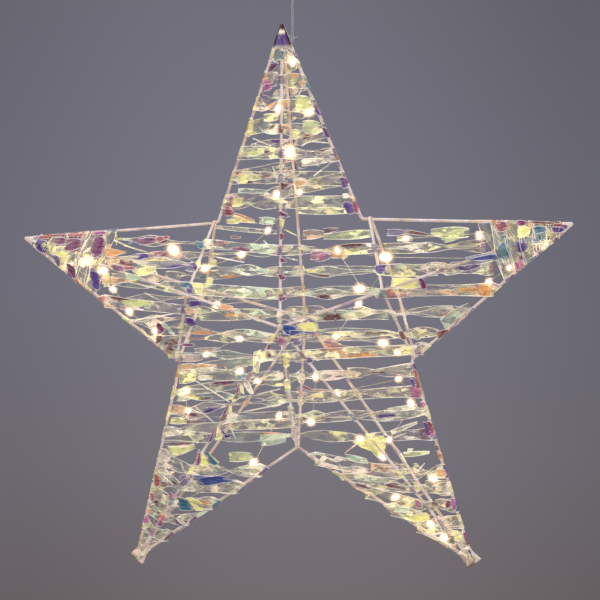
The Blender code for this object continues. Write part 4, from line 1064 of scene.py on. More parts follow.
first = TOP_START - TIP_REACH
pitch = (-CORNERS[0].z - TOP_END - first) / TOP_TURNS
add_film("top_arm_film", "film_top_arm", winding(
    own_wires("top"), DOWN, RIGHT, first, pitch, TOP_TURNS, DROPS_BEHIND), "top", 1)
gaps = {}
for arm_name, (first, turns) in TIP_RUNS.items():
    axis = AXES[ARM_NAMES.index(arm_name)]
    gaps[arm_name] = first + turns * TIP_PITCH + FILM_WIDTH / 2 + TIP_GAP
    add_film(f"{arm_name}_tip_film", f"film_{arm_name}_tip", winding(
        own_wires(arm_name), -axis, BACKWARD.cross(axis), first - TIP_REACH, TIP_PITCH,
        turns, EVEN), "tip", 2)
for arm_name in ("lower_right", "lower_left"):
    first = CORNER_REACH + LOWER_START
    pitch = (-TIPS[ARM_NAMES.index(arm_name)].z - LOWER_END - first) / LOWER_TURNS
    add_film(f"{arm_name}_arm_film", f"film_{arm_name}_arm", winding(
        own_wires(arm_name), DOWN, RIGHT, first, pitch, LOWER_TURNS, DROPS_EARLY), "lower", 3)
body_number = 0
upper_first, lower_first = BODY_START - CORNERS[0].z, -CORNERS[1].z - BODY_MIDDLE
for first, last, turns, quarters in (
    (upper_first, lower_first - BODY_BREAK, 5, DROPS_EARLY),
    (lower_first, CORNER_REACH - BODY_END, 4.5, DROPS_LATE),
):
    pitch = (last - first) / turns
    for ribbon_turns in (3, turns - 3):
        body_number += 1
        add_film(f"body_film_{body_number}", f"film_body_{body_number}", winding(
            WIRES, DOWN, RIGHT, first, pitch, ribbon_turns, quarters, gaps), "body", 10 + body_number)
        first += ribbon_turns * pitch


# Loose folds of the ribbon: stretches that turned over as it was wound and now lie flat to
# the front, where the coating shows its full colour.

FOLD_LIFT = FILM_LIFT + 0.5 * MM
FOLD_STEPS = 5
FOLD_BULGE = 0.8 * MM
FOLD_LEAST = 0.3 * MM
FOLD_CREASE = 0.3 * MM
FOLD_TAPER, FOLD_PINCH = 0.45, 0.2
FOLD_FADE = 3.4
FOLDS_SEED = 77
# The white folds are painted highlights: fold edges that catch the light.
# Each fold in mm: x and z of its near end's top and foot, then of its far end's top and
# foot, its colour, and how strongly it covers.
FOLDS = (
    (110, 46, 109, 36, 135, 46, 138, 32, YELLOW, 1), (136, 45, 139, 32, 141, 45, 144, 33, PURPLE, 1),
    (191, 36, 192, 30, 205, 35, 198, 22, ORANGE, 0.9), (169, 8, 165, -7, 182, 11, 168, -5, MAGENTA, 0.6),
    (148, -10, 149, -20, 161, -7, 153, -17, MAROON, 0.8), (181, 64, 185, 54, 213, 69, 214, 59, BLUE, 0.8),
    (174, 55, 176, 48, 195, 58, 195, 52, VIOLET, 0.7), (190, 88, 191, 79, 200, 89, 200, 80, WHITE_GLINT, 0.7),
    (154, 84, 161, 77, 178, 93, 180, 82, GREEN, 0.6), (152, 3, 157, -10, 180, 20, 184, 8, MINT, 0.5),
    (-4, 3, 3, -8, 15, 3, 20, -8, BLUE, 1), (15, 3, 22, -5, 36, 6, 38, -6, YELLOW, 1),
    (-3, -9, -3, -20, 3, -9, 4, -19, MAGENTA, 0.7), (10, -10, 11, -20, 19, -10, 21, -19, VIOLET, 0.7),
    (38, -13, 41, -21, 57, -18, 59, -26, RED, 0.7), (51, -22, 54, -32, 65, -26, 63, -36, ORANGE, 0.6),
    (61, -118, 73, -125, 94, -113, 95, -132, YELLOW, 0.9),
    (77, -113, 80, -123, 93, -129, 87, -136, GREEN, 0.8),
    (52, -131, 56, -139, 76, -134, 77, -143, MINT, 0.6),
    (-194, 82, -190, 70, -170, 77, -169, 75, ORANGE, 0.95),
    (-192, 67, -188, 64, -177, 70, -175, 65, ORANGE, 0.6),
    (-159, 90, -156, 82, -139, 91, -136, 84, PURPLE, 0.9),
    (-140, 91, -137, 84, -125, 92, -124, 89, RED, 0.9),
    (-160, 75, -157, 68, -144, 75, -143, 69, VIOLET, 0.95),
    (-145, 76, -143, 69, -129, 77, -128, 74, RED, 0.75),
    (-187, 65, -181, 57, -171, 63, -168, 56, PURPLE, 0.9),
    (-172, 63, -169, 57, -159, 62, -157, 59, RED, 0.9),
    (-162, 58, -155, 51, -136, 64, -135, 54, YELLOW, 0.9),
    (-169, 56, -168, 46, -152, 53, -151, 48, MINT, 0.8),
    (-181, 27, -171, 17, -147, 28, -139, 22, GREEN, 0.9),
    (-140, 4, -145, -12, -137, 4, -130, -7, PURPLE, 1),
    (-144, -10, -146, -21, -134, -10, -139, -18, MAROON, 0.9),
    (-135, 3, -127, -9, -130, 4, -118, -11, MINT, 0.7),
    (-131, -17, -132, -28, -124, -16, -125, -28, MAROON, 0.8),
    (-97, 86, -93, 79, -90, 86, -85, 75, TEAL, 0.95), (-101, 65, -99, 56, -92, 66, -91, 54, VIOLET, 0.8),
    (-106, 46, -100, 41, -98, 47, -98, 41, TEAL, 0.95), (-101, 41, -97, 34, -95, 46, -95, 33, VIOLET, 0.9),
    (-99, 27, -100, 19, -84, 28, -84, 21, VIOLET, 0.95), (-106, 10, -106, -1, -96, 9, -92, -1, VIOLET, 1),
    (-114, -18, -115, -22, -100, -18, -99, -22, PURPLE, 0.9),
    (-3, 115, -1, 108, 6, 113, 10, 107, PURPLE, 0.95), (-7, 108, -3, 103, -2, 96, 1, 94, MAROON, 0.9),
    (-1, 93, 0, 85, 4, 93, 3, 85, RED, 0.9), (0, 69, 1, 63, 6, 67, 7, 63, PURPLE, 0.95),
    (-1, 53, 0, 46, 5, 51, 6, 46, PURPLE, 0.95), (-1, 30, 0, 25, 6, 30, 7, 27, PURPLE, 0.95),
    (-67, 118, -64, 109, -55, 117, -54, 110, RED, 0.85),
    (-54, 112, -63, 104, -28, 103, -23, 102, YELLOW, 0.75),
    (-138, -126, -129, -137, -103, -120, -100, -126, YELLOW, 0.8),
    (-140, -121, -138, -126, -103, -118, -102, -122, MAROON, 0.7),
    (-98, -125, -103, -144, -94, -125, -98, -144, MAGENTA, 0.5),
    (-94, -126, -97, -144, -91, -129, -87, -145, YELLOW, 0.9),
    (-91, -126, -85, -144, -88, -127, -77, -144, TEAL, 0.95),
    (-107, -151, -101, -167, -73, -155, -66, -162, BLUE, 1),
    (-122, -154, -120, -166, -110, -152, -111, -166, VIOLET, 0.75),
    (-153, -153, -153, -169, -148, -155, -145, -168, RED, 0.9),
    (-146, -161, -145, -169, -137, -161, -134, -167, MAROON, 0.8),
    (-159, -174, -158, -183, -153, -174, -152, -183, RED, 0.8),
    (-124, -176, -126, -192, -118, -178, -109, -194, TEAL, 1),
    (-117, -176, -109, -194, -100, -182, -98, -193, YELLOW, 1),
    (-107, -179, -101, -185, -94, -182, -96, -190, ORANGE, 0.85),
    (-134, -171, -137, -187, -127, -172, -132, -188, MAGENTA, 0.7),
    (-164, -197, -169, -207, -162, -197, -160, -208, MAGENTA, 0.9),
    (-142, -195, -151, -207, -138, -196, -147, -211, MAGENTA, 0.7),
    (-135, -198, -127, -209, -130, -201, -114, -205, VIOLET, 0.8),
    (-115, -195, -108, -201, -100, -194, -94, -192, MINT, 0.6),
    (-137, -215, -128, -214, -124, -212, -114, -205, BLUE, 0.5),
    (24, 244, 25, 235, 30, 228, 32, 224, TEAL, 0.95), (16, 242, 16, 240, 24, 244, 23, 236, ORANGE, 0.8),
    (-13, 262, -16, 251, -1, 263, -8, 255, PURPLE, 0.9),
    (-20, 242, -20, 233, -12, 242, -10, 235, MAGENTA, 0.9),
    (-23, 234, -27, 223, -20, 234, -24, 222, PURPLE, 0.9),
    (30, 222, 32, 209, 36, 212, 39, 205, VIOLET, 0.95), (35, 215, 37, 210, 38, 206, 40, 203, RED, 0.8),
    (38, 197, 42, 186, 44, 193, 47, 183, VIOLET, 0.9), (42, 197, 46, 184, 45, 189, 48, 180, RED, 0.9),
    (-36, 210, -41, 188, -31, 208, -34, 188, YELLOW, 0.7),
    (57, 121, 62, 108, 66, 122, 70, 107, VIOLET, 0.95), (66, 123, 69, 108, 70, 119, 74, 108, RED, 0.9),
    (119, -57, 122, -66, 124, -57, 126, -68, VIOLET, 0.95),
    (123, -47, 127, -70, 126, -47, 131, -68, RED, 0.85),
    (131, -100, 136, -116, 135, -100, 140, -116, VIOLET, 0.95),
    (135, -99, 138, -114, 140, -101, 144, -114, RED, 0.9),
    (144, -130, 147, -140, 148, -130, 151, -140, ORANGE, 0.8), (-77, 101, -77, 97, -3, 96, -3, 90, PALE, 0),
    (21, 95, 21, 84, 40, 95, 40, 85, ORANGE, 0.3), (40, 96, 40, 89, 54, 96, 54, 92, MAROON, 0.8),
    (40, 90, 40, 84, 85, 95, 86, 82, GREEN, 0.5), (102, 93, 102, 85, 122, 92, 122, 86, VIOLET, 0.6),
    (122, 92, 122, 87, 146, 87, 146, 84, MAROON, 0.9), (146, 92, 146, 84, 184, 95, 184, 79, GREEN, 0.5),
    (-76, -100, -76, -102, -88, -120, -82, -118, MAGENTA, 0.9),
    (-74, -101, -72, -101, -78, -115, -70, -116, YELLOW, 0.9),
    (-72, -101, -71, -104, -69, -115, -62, -115, VIOLET, 0.85),
    (-60, -78, -60, -80, -71, -91, -66, -93, PURPLE, 0.9),
    (-60, -80, -57, -80, -61, -88, -57, -88, YELLOW, 0.9),
    (-57, -79, -56, -79, -54, -87, -50, -89, MAROON, 0.9),
    (-49, -56, -46, -57, -53, -69, -49, -69, PURPLE, 0.8),
    (-46, -57, -44, -57, -47, -66, -42, -69, YELLOW, 0.9),
    (-43, -56, -37, -54, -39, -68, -32, -68, WHITE_GLINT, 0.8),
    (-31, -25, -20, -22, -32, -45, -25, -47, YELLOW, 0.6),
    (-119, -40, -119, -49, -98, -38, -98, -48, ORANGE, 0.5),
    (-98, -38, -98, -48, -75, -40, -75, -47, WHITE_GLINT, 0.6),
    (-98, -50, -96, -57, -80, -50, -80, -55, WHITE_GLINT, 0.7),
    (-121, -48, -122, -62, -101, -49, -100, -59, YELLOW, 0.6),
    (-98, -73, -98, -77, -80, -71, -80, -75, MAROON, 0.7),
    (-114, -97, -114, -102, -88, -95, -88, -99, MAROON, 0.6),
    (-123, -120, -122, -123, -110, -119, -110, -122, RED, 0.9),
    (-34, -111, -35, -125, -7, -111, -11, -123, MINT, 0.4),
    (-67, -129, -68, -141, -44, -129, -45, -141, GREEN, 0.6),
    (1, -29, -1, -42, 7, -29, 5, -42, YELLOW, 0.7), (4, 276, 6, 262, 17, 263, 18, 260, WHITE_GLINT, 0.5),
    (13, 229, 14, 214, 27, 229, 29, 212, GREEN, 0.7), (20, 204, 21, 190, 36, 204, 37, 187, GREEN, 0.6),
    (10, 195, 10, 184, 17, 196, 18, 185, YELLOW, 0.7), (-20, 212, -20, 203, -3, 212, -3, 203, YELLOW, 0.5),
    (-40, 178, -39, 169, -19, 178, -19, 170, GREEN, 0.7),
    (-48, 152, -49, 142, -39, 153, -38, 141, YELLOW, 0.9),
    (-38, 152, -38, 144, -20, 151, -23, 145, GREEN, 0.6),
    (-37, 155, -37, 152, -23, 153, -22, 150, MAROON, 0.7), (19, 166, 20, 157, 43, 166, 44, 159, WHITE_GLINT, 0.4),
    (1, 142, 2, 136, 7, 142, 8, 137, MAROON, 0.95), (14, 144, 15, 137, 24, 145, 22, 138, ORANGE, 0.8),
    (6, 154, 6, 146, 12, 155, 12, 146, ORANGE, 0.4), (-8, 135, -7, 126, -1, 136, -1, 127, WHITE_GLINT, 0.8),
    (-50, 138, -50, 133, -14, 136, -14, 131, MINT, 0.4),
    (-58, 128, -57, 118, -44, 129, -43, 119, YELLOW, 0.8),
    (-66, 120, -66, 109, -57, 120, -57, 110, RED, 0.9),
    (-54, 114, -53, 105, -30, 107, -29, 101, ORANGE, 0.8),
    (-64, 107, -64, 102, -49, 107, -48, 101, YELLOW, 0.9), (-1, 107, 2, 97, 5, 107, 3, 97, YELLOW, 0.9),
    (-25, 109, -24, 101, -5, 109, -6, 100, MINT, 0.5), (54, 146, 58, 133, 61, 146, 64, 134, VIOLET, 0.9),
    (57, 129, 58, 124, 64, 130, 64, 124, WHITE_GLINT, 0.9), (16, 118, 17, 110, 62, 116, 63, 107, YELLOW, 0.35),
    (-59, 90, -59, 87, -46, 90, -46, 87, MAROON, 0.7), (-75, 87, -75, 80, -63, 85, -64, 82, PINK, 0.8),
    (28, 74, 28, 64, 42, 75, 42, 64, MAGENTA, 0.5), (47, 71, 47, 65, 62, 71, 62, 65, ORANGE, 0.6),
    (81, -116, 90, -135, 98, -115, 95, -134, YELLOW, 0.8),
    (95, -111, 95, -114, 99, -112, 99, -115, VIOLET, 0.85),
    (80, -140, 79, -149, 109, -141, 106, -152, ORANGE, 0.4),
    (35, -145, 34, -151, 42, -146, 42, -151, MAROON, 0.8),
    (53, -162, 56, -167, 79, -164, 78, -170, PURPLE, 0.75),
    (55, -166, 56, -166, 70, -171, 70, -175, ORANGE, 0.6),
    (60, -156, 60, -160, 108, -154, 107, -162, MINT, 0.5),
    (97, -187, 98, -193, 120, -186, 119, -192, MINT, 0.8),
    (91, -189, 89, -188, 101, -196, 97, -194, ORANGE, 0.9),
    (107, -199, 105, -199, 112, -199, 112, -203, BLUE, 0.9),
    (122, -176, 123, -187, 129, -179, 131, -187, MAGENTA, 0.8),
    (117, -194, 117, -203, 136, -192, 137, -201, YELLOW, 1),
    (150, -212, 150, -218, 157, -212, 157, -218, ORANGE, 0.8),
    (157, -209, 160, -221, 166, -210, 168, -222, YELLOW, 0.85),
    (126, -213, 122, -210, 141, -218, 140, -222, PINK, 0.9),
    (141, -214, 141, -218, 146, -214, 146, -218, VIOLET, 0.7),
    (154, -223, 156, -229, 161, -224, 162, -229, ORANGE, 0.6),
    (152, -180, 152, -188, 157, -179, 157, -188, PURPLE, 1),
    (157, -177, 159, -191, 161, -178, 163, -191, MAGENTA, 0.9),
    (144, -148, 146, -157, 152, -148, 154, -157, ORANGE, 0.7),
    (136, -110, 137, -117, 141, -110, 142, -117, MAGENTA, 0.85),
    (-272, 95, -272, 91, -257, 95, -257, 91, RED, 0.9),
    (-272, 91, -273, 80, -257, 91, -260, 73, VIOLET, 0.95),
    (-254, 96, -254, 93, -237, 96, -237, 93, RED, 0.9),
    (-252, 93, -252, 86, -237, 93, -238, 84, PURPLE, 0.95),
    (-257, 84, -257, 75, -224, 84, -226, 69, YELLOW, 0.8),
    (-255, 76, -253, 67, -245, 71, -246, 60, BLUE, 0.7), (-237, 96, -237, 93, -217, 96, -218, 93, RED, 0.9),
    (-239, 85, -239, 78, -220, 92, -222, 78, PURPLE, 0.95),
    (-238, 68, -236, 53, -228, 63, -229, 46, PURPLE, 0.85),
    (-207, 98, -208, 94, -193, 98, -193, 94, MAGENTA, 0.9),
    (-207, 94, -209, 70, -194, 94, -195, 71, PURPLE, 0.95),
    (-211, 59, -211, 39, -198, 58, -202, 34, VIOLET, 0.95),
    (-241, 55, -237, 51, -231, 48, -228, 43, RED, 0.8), (-215, 37, -213, 33, -201, 23, -195, 17, RED, 0.75),
    (-195, 27, -193, 23, -188, 23, -186, 18, VIOLET, 0.6),
    (-182, 21, -182, 16, -175, 21, -175, 16, MAGENTA, 0.7),
    (-199, 51, -198, 43, -164, 50, -161, 45, ORANGE, 0.45),
    (-161, -1, -160, -7, -154, -9, -153, -14, YELLOW, 0.8),
    (-165, -7, -160, -11, -157, -14, -153, -17, MAROON, 0.9),
    (269, 93, 267, 83, 282, 93, 279, 86, VIOLET, 0.9), (244, 97, 244, 94, 269, 95, 269, 92, MAROON, 0.85),
    (249, 89, 248, 73, 260, 89, 259, 74, TEAL, 0.6), (233, 93, 232, 80, 244, 92, 244, 81, YELLOW, 0.85),
    (230, 98, 232, 92, 241, 98, 239, 91, PURPLE, 0.9), (210, 96, 212, 86, 222, 96, 222, 87, RED, 0.8),
    (213, 76, 214, 59, 224, 77, 224, 60, TEAL, 0.75), (231, 78, 231, 65, 241, 78, 240, 66, VIOLET, 0.85),
    (-102.5, -55.1, -103.5, -56.4, -58.6, -75.4, -59.6, -76.7, WHITE_GLINT, 0.7),
    (-101.2, -81.9, -102.4, -83.2, -76, -98, -77.2, -99.2, PALE, 0.8),
    (-65.7, -39.1, -67.1, -40.2, -55.8, -47.9, -57.1, -49, ORANGE, 0.5),
    (-112.7, -108.5, -114.1, -109.7, -97.4, -119.9, -98.7, -121, YELLOW, 0.7),
    (-119, -139.3, -120.8, -140, -113.9, -149.3, -115.6, -150, PALE, 0.7),
    (-114, -149, -115.4, -150.2, -101.4, -167.1, -102.7, -168.1, PALE, 0.8),
    (-147.1, -151.3, -148.2, -152.4, -128.3, -163.6, -129.5, -164.9, WHITE_GLINT, 0.9),
    (-138.3, -127.8, -139.7, -128.7, -131, -135.5, -132.5, -136.6, WHITE_GLINT, 0.8),
    (-77.5, -140.3, -78.6, -141.5, -87.4, -127.8, -88.6, -129, YELLOW, 0.6),
    (-32.8, -55.6, -32.4, -57, -6, -43.6, -5.6, -45, WHITE_GLINT, 0.6),
    (-32.5, -68.3, -32.4, -69.9, -7.5, -62.9, -7.4, -64.5, WHITE_GLINT, 0.6),
    (-46, -85.9, -45.9, -87.5, -7.2, -79, -7.1, -80.5, WHITE_GLINT, 0.8),
    (-61.5, -99.4, -62.9, -100.1, -57.3, -115.1, -58.7, -115.8, PALE, 0.8),
    (-33, 188.3, -33.7, 186.9, -10.4, 179.5, -11, 178.2, WHITE_GLINT, 0.5),
    (-34.3, 182.4, -34.6, 180.9, -8.2, 177.5, -8.5, 176, WHITE_GLINT, 0.6),
    (-40.5, 169.5, -40.2, 168, -7.3, 173.5, -6.9, 172, PALE, 0.5),
    (18.9, 178.4, 19.7, 177.1, 26.3, 183.1, 27.1, 181.8, WHITE_GLINT, 0.7),
    (26.8, 183.2, 26.6, 181.7, 45.3, 180.5, 45.1, 179, WHITE_GLINT, 0.6),
    (19.4, 174.5, 19.3, 173, 47, 170.5, 46.8, 169, PALE, 0.5),
    (22.4, 163.4, 22, 162, 37.2, 157.8, 36.8, 156.4, YELLOW, 0.6),
    (30.2, 148.1, 31, 146.8, 46.1, 160.4, 47, 159.1, WHITE_GLINT, 0.4),
    (-8.5, 159.1, -10.1, 158.6, -2.5, 147.1, -4.2, 146.5, PALE, 0.6),
    (-18.7, 86, -19.9, 84.9, -1, 72.1, -2.1, 71.1, WHITE_GLINT, 0.4),
    (4.4, 96.7, 3.8, 95.4, 17.4, 89.2, 16.8, 87.9, YELLOW, 0.6),
    (5.4, 69.1, 5.1, 67.7, 17.4, 65.6, 17.1, 64.1, WHITE_GLINT, 0.6),
    (-75.6, 70.6, -75.7, 69.2, -41.5, 64.2, -41.8, 62.7, WHITE_GLINT, 0.4),
    (-184.5, 88.9, -185, 87.5, -159.3, 79.3, -159.7, 77.9, YELLOW, 0.5),
    (-167, 5.8, -166.8, 4.3, -118, 13.8, -118, 12.2, WHITE_GLINT, 0.6),
    (-173, 83.6, -173.3, 82.2, -123.6, 69.6, -123.9, 68.2, PALE, 0.4),
    (-166.2, 47.2, -166.9, 45.7, -98, 31.8, -98.7, 30.3, PALE, 0.4),
    (-149, 35.6, -150.1, 34.2, -101.1, 12.8, -102.2, 11.4, PALE, 0.4),
    (102.2, -117.3, 101.1, -118.1, 111.4, -129.7, 110.3, -130.6, PINK, 0.8),
    (111.5, -129.9, 110.2, -130.5, 124.3, -155.5, 123.1, -156.1, WHITE_GLINT, 0.7),
    (104.2, -114.2, 104.7, -115.6, 116.3, -110.1, 116.8, -111.5, PALE, 0.5),
    (71.6, -116.4, 72.4, -117.7, 52.2, -130.2, 53.1, -131.5, ORANGE, 0.4),
    (90.9, -161.9, 91.3, -163.4, 110.2, -154.3, 110.6, -155.9, WHITE_GLINT, 0.7),
    (97.1, -183.3, 97.7, -184.6, 116.5, -172.5, 117.1, -173.9, ORANGE, 0.6),
    (138.2, -171, 138.8, -172.4, 152.8, -163.7, 153.5, -165, ORANGE, 0.6),
    (125.1, -149.5, 126.1, -150.5, 132.6, -141.1, 133.7, -142.2, WHITE_GLINT, 0.5),
    (132, -215.4, 132.3, -216.9, 148.7, -210.9, 148.9, -212.5, WHITE_GLINT, 0.8),
    (142.7, -196.3, 141.2, -197.2, 150.5, -212.2, 149.1, -213.2, WHITE_GLINT, 0.7),
    (247, 92, 246, 75, 260, 92, 259, 77, BLUE, 0.8), (214, 85, 215, 61, 225, 85, 224, 62, TEAL, 0.85),
    (185, 63, 185, 60, 216, 68, 214, 57, BLUE, 0.85), (173, 56, 174, 51, 186, 55, 182, 49, VIOLET, 0.8),
    (266, 94, 266, 90, 278, 93, 277, 90, RED, 0.85), (266, 90, 266, 84, 279, 90, 277, 84, VIOLET, 0.95),
    (112, 85, 113, 80, 127, 86, 129, 80, YELLOW, 0.4),
    (-122, -66, -125, -80, -108, -65, -103, -77, WHITE_GLINT, 0.5),
    (-129, -82, -132, -93, -115, -82, -110, -91, ORANGE, 0.5),
    (-131, -95, -134, -103, -115, -94, -110, -102, YELLOW, 0.6),
    (-137, -104, -141, -117, -120, -105, -115, -112, WHITE_GLINT, 0.5),
    (-116, -29, -118, -39, -97, -29, -90, -37, PINK, 0.7),
    (-144, -127, -147, -140, -133, -129, -133, -140, PINK, 0.8),
    (-101, -23, -101, -29, -70, -21, -70, -27, PINK, 0.5), (-1, -26, -2, -41, 5, -26, 4, -41, YELLOW, 0.5),
    (-2, -53, -4, -68, 5, -53, 2, -68, YELLOW, 0.6), (-3, -81, -5, -98, 4, -81, 2, -98, WHITE_GLINT, 0.5),
    (-3, -103, -3, -120, 7, -102, 4, -120, PINK, 0.7), (10, -62, 9, -74, 16, -60, 14, -75, MAGENTA, 0.4),
    (52, -162, 58, -168, 65, -164, 64, -172, PINK, 0.7),
    (64, -164, 64, -170, 79, -165, 77, -170, PURPLE, 0.7),
    (113, -129, 114, -135, 138, -129, 137, -134, GREEN, 0.5),
    (117, -126, 117, -130, 123, -126, 122, -129, WHITE_GLINT, 0.7),
    (101, -107, 103, -112, 126, -99, 127, -103, PALE, 0.6),
    (98, -85, 101, -89, 126, -82, 128, -89, PALE, 0.7),
    (129, -80, 131, -87, 134, -80, 135, -87, MAGENTA, 0.7),
    (142, -124, 144, -131, 145, -124, 148, -131, PURPLE, 0.85),
    (145, -132, 146, -139, 149, -132, 150, -139, RED, 0.7),
    (118, -195, 121, -203, 133, -189, 138, -199, YELLOW, 0.9),
    (92, -191, 93, -191, 101, -197, 100, -196, ORANGE, 0.75),
    (122, -210, 120, -209, 143, -217, 142, -223, PINK, 0.75),
    (146, -219, 149, -224, 159, -224, 160, -231, WHITE_GLINT, 0.8),
    (172, -230, 177, -240, 174, -228, 177, -236, VIOLET, 0.95),
    (122, -159, 124, -169, 127, -160, 130, -169, YELLOW, 0.5),
    (-107, -153, -104, -157, -89, -151, -80, -156, BLUE, 0.9),
    (-80, -157, -79, -164, -67, -160, -66, -162, BLUE, 0.85),
    (-118, -176, -109, -193, -105, -178, -99, -193, YELLOW, 1),
    (-105, -178, -99, -187, -94, -183, -93, -187, ORANGE, 0.8),
    (-121, -161, -119, -166, -112, -153, -111, -163, VIOLET, 0.7),
    (-93, -129, -98, -144, -92, -129, -87, -145, YELLOW, 0.95),
    (-96, -128, -102, -144, -95, -128, -98, -144, PURPLE, 0.8),
    (-71, -107, -69, -115, -65, -108, -61, -114, VIOLET, 0.9),
    (-76, -107, -79, -117, -72, -107, -71, -115, YELLOW, 0.9),
    (-136, -125, -135, -127, -103, -122, -103, -124, WHITE_GLINT, 0.8),
    (-58, -165, -49, -163, -48, -162, -46, -160, ORANGE, 0.6),
    (-114, -205, -96, -193, -98, -194, -93, -191, GREEN, 0.4),
    (-131, -202, -128, -211, -127, -201, -116, -206, VIOLET, 0.8),
    (-145, -197, -150, -208, -140, -198, -146, -210, PURPLE, 0.85),
    (-134, -218, -130, -215, -122, -211, -119, -209, TEAL, 0.5),
    (-166, -226, -165, -233, -145, -225, -144, -224, PINK, 0.6),
    (-64, 24, -64, 18, -50, 22, -48, 16, ORANGE, 0.8), (8, -3, 10, -10, 20, -3, 20, -7, BLUE, 0.9),
    (21, -5, 20, -7, 36, -6, 35, -9, VIOLET, 0.85), (38, -16, 41, -21, 54, -22, 53, -28, ORANGE, 0.75),
    (-24, -24, -30, -34, -18, -25, -20, -35, WHITE_GLINT, 0.9),
    (-12, -16, -16, -23, -11, -16, -10, -23, PURPLE, 0.85),
    (-98, -39, -98, -44, -75, -39, -76, -42, ORANGE, 0.8),
    (-98, -52, -98, -56, -81, -50, -82, -55, WHITE_GLINT, 0.5), (15, -58, 15, -63, 27, -63, 26, -67, RED, 0.75),
    (27, -63, 27, -66, 44, -63, 43, -66, ORANGE, 0.6), (24, -30, 24, -37, 30, -30, 31, -37, VIOLET, 0.8),
    (-78, 68, -79, 59, -71, 67, -71, 59, YELLOW, 0.7), (-80, 50, -81, 42, -72, 49, -74, 42, YELLOW, 0.8),
    (-87, 27, -89, 19, -82, 27, -84, 20, VIOLET, 0.8), (183, 61, 186, 60, 212, 68, 212, 59, BLUE, 0.9),
    (248, 92, 246, 73, 260, 92, 259, 76, BLUE, 0.9), (247, 92, 247, 84, 260, 92, 260, 84, TEAL, 0.8),
    (214, 98, 214, 90, 221, 97, 222, 89, PURPLE, 0.8), (172, 8, 167, -6, 183, 8, 167, -6, PINK, 0.7),
    (175, 7, 168, -4, 182, 7, 170, -3, MAGENTA, 0.35), (174, 56, 176, 50, 185, 55, 180, 49, VIOLET, 0.95),
    (231, 76, 231, 65, 242, 78, 239, 65, VIOLET, 0.9),
    (-254, 76, -250, 63, -244, 74, -246, 60, VIOLET, 0.8),
    (-239, 67, -236, 53, -228, 64, -229, 48, PURPLE, 0.9),
    (-172, 88, -170, 85, -164, 88, -165, 84, BLUE, 0.7),
    (-159, 74, -158, 67, -146, 74, -147, 68, VIOLET, 0.95),
    (-236, 92, -238, 79, -219, 92, -221, 79, PURPLE, 0.9),
    (-101, 65, -105, 56, -93, 65, -93, 54, VIOLET, 0.5), (38, 196, 42, 185, 42, 197, 45, 184, VIOLET, 0.9),
    (41, 197, 44, 184, 43, 194, 47, 183, RED, 0.8), (51, 162, 54, 155, 55, 162, 56, 154, VIOLET, 0.7),
    (59, 146, 61, 137, 61, 146, 64, 137, RED, 0.85), (32, 70, 33, 62, 47, 73, 46, 63, MAGENTA, 0.6),
    (58, 70, 58, 64, 65, 71, 64, 65, YELLOW, 0.7), (0, 115, 0, 109, 9, 110, 6, 107, PURPLE, 0.9),
    (0, 144, 1, 134, 7, 141, 4, 134, MAROON, 0.9),
)


def on_skin(x, z):
    return Vector((x * MM, -max(skin_depth(x * MM, z * MM), 0) - FOLD_LIFT, z * MM))


forward = Vector((0, -1, 0))
folds = Strip(FOLDS_SEED)
for *places, colour, cover in FOLDS:
    near_top, near_foot, far_top, far_foot = (on_skin(x, z) for x, z in zip(places[::2], places[1::2]))
    for step in range(FOLD_STEPS + 1):
        t = step / FOLD_STEPS
        top, foot = near_top.lerp(far_top, t), near_foot.lerp(far_foot, t)
        across = foot - top
        drawn_in = 1 - FOLD_TAPER * t ** 3 - FOLD_PINCH * (1 - t) ** 3
        half = max(across.length / 2 * drawn_in, FOLD_LEAST)
        folds.run += (far_top - near_top).length / FOLD_STEPS
        out = forward * (FOLD_BULGE * sin(pi * t))
        fade = min(1, FOLD_FADE * (1 - t) + 0.35, FOLD_FADE * t + 0.6)
        own = (colour, cover * fade, 0.6 if cover >= 0.3 else 0.25)
        folds.ring((top + foot) / 2 + out, across.normalized(), forward, half,
                   lambda s, spot: own, FOLD_CREASE, start=not step)
folds.finish("front_folds", film)


# Hanging line: 0.8 mm clear nylon, tied round the top arm's wire with a small knot, its two
# cut ends left standing, then up in a narrow loop for the hook.

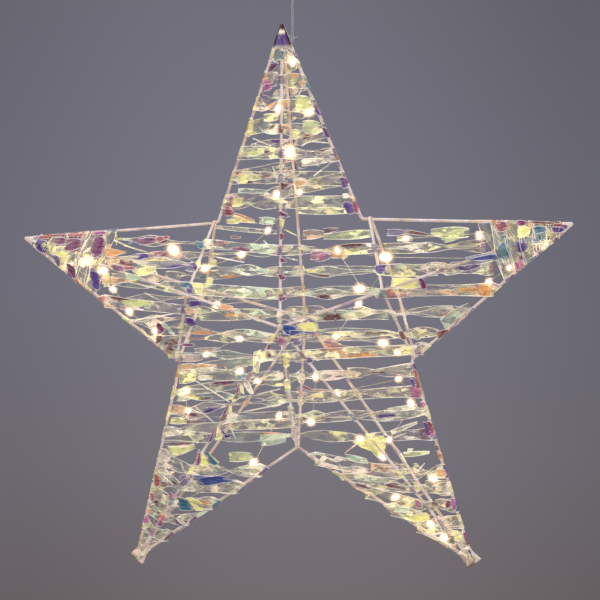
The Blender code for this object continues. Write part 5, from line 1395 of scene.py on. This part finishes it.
LINE_STEP = 2.4 * MM
LINE_ROUTE = (
    (-0.7, -78.3), (-0.7, -66), (-0.7, -52), (-0.7, -38), (-0.8, -26), (-1.3, -17),
    (-2.7, -10), (-3.9, -5.6), (-3.5, -2.2), (-2.0, -0.5), (0, 0), (2.0, -0.5), (3.5, -2.2),
    (3.9, -5.6), (2.7, -10), (1.3, -17), (0.8, -26), (0.7, -38), (0.7, -52), (0.7, -66),
    (0.7, -78.3),
)
NOOSE_MOUTH = radians(14)
NOOSE_STEPS = 24
KNOT_TAILS = ((-1.5 * MM, -4.5 * MM, 5 * MM), (6 * MM, -1 * MM, 4.5 * MM))
TAIL_BEND = Vector((0, -0.6 * MM, 0.5 * MM))
KNOT_RING, KNOT_TUBE = 0.8 * MM, 0.5 * MM
KNOT_LEAN = (radians(70), 0, radians(20))
nylon, tree, shader = new_finish("clear nylon")
tone = add_tone(tree, 300, 2, (0.40, 0.38, 0.40), (0.66, 0.64, 0.64))
set_inputs(tree, shader, {"Base Color": tone, "Roughness": 0.12, "Alpha": 0.3})

route = [Vector((x * MM, 0, z * MM)) for x, z in LINE_ROUTE]
line_points = []
for index in range(len(route) - 1):
    before, start, end = route[max(index - 1, 0)], route[index], route[index + 1]
    after = route[min(index + 2, len(route) - 1)]
    count = max(1, round((end - start).length / LINE_STEP))
    for number in range(count):
        t = number / count
        line_points.append(0.5 * (
            2 * start + (end - before) * t + (2 * before - 5 * start + 4 * end - after) * t * t
            + (3 * start - before - 3 * end + after) * t ** 3
        ))
line_points.append(route[-1])
loop_line = draw_strands("loop_line", [line_points], LINE_RADIUS, 3, nylon)
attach(loop_line, "line")
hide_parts("hanging_line")

down_wire = Vector((sin(SIDE_SLOPE), 0, -cos(SIDE_SLOPE)))
turn_points = []
for step in range(NOOSE_STEPS + 1):
    angle = NOOSE_MOUTH + (tau - 2 * NOOSE_MOUTH) * step / NOOSE_STEPS
    arm_out = Matrix.Rotation(angle, 3, down_wire) @ SIDE_OUT
    turn_points.append(HUNG @ (NOOSE_PLACE + arm_out * (WIRE_RADIUS + SEAT + LINE_RADIUS)))
tails = []
for tail in KNOT_TAILS:
    tails.append([HUNG @ (KNOT + Vector(tail) * share + TAIL_BEND * sin(pi * share))
                  for share in (0, 0.25, 0.5, 0.75, 1)])
noose = draw_strands("tied_noose", [turn_points] + tails, LINE_RADIUS, 3, nylon)
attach(noose, "star")
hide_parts("line_noose")

bpy.ops.object.select_all(action="DESELECT")
bpy.ops.mesh.primitive_torus_add(
    major_segments=20, minor_segments=10, major_radius=KNOT_RING, minor_radius=KNOT_TUBE,
    location=HUNG @ KNOT, rotation=KNOT_LEAN,
)
knot = bpy.context.object
bpy.ops.object.transform_apply(location=True, rotation=True, scale=True)
bpy.ops.object.shade_smooth()
knot.name = "tied_knot"
knot.data.materials.append(nylon)
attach(knot, "star")


size = {"cad": [list(corner) for corner in cad_bounds], "visual": [list(corner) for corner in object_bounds()]}
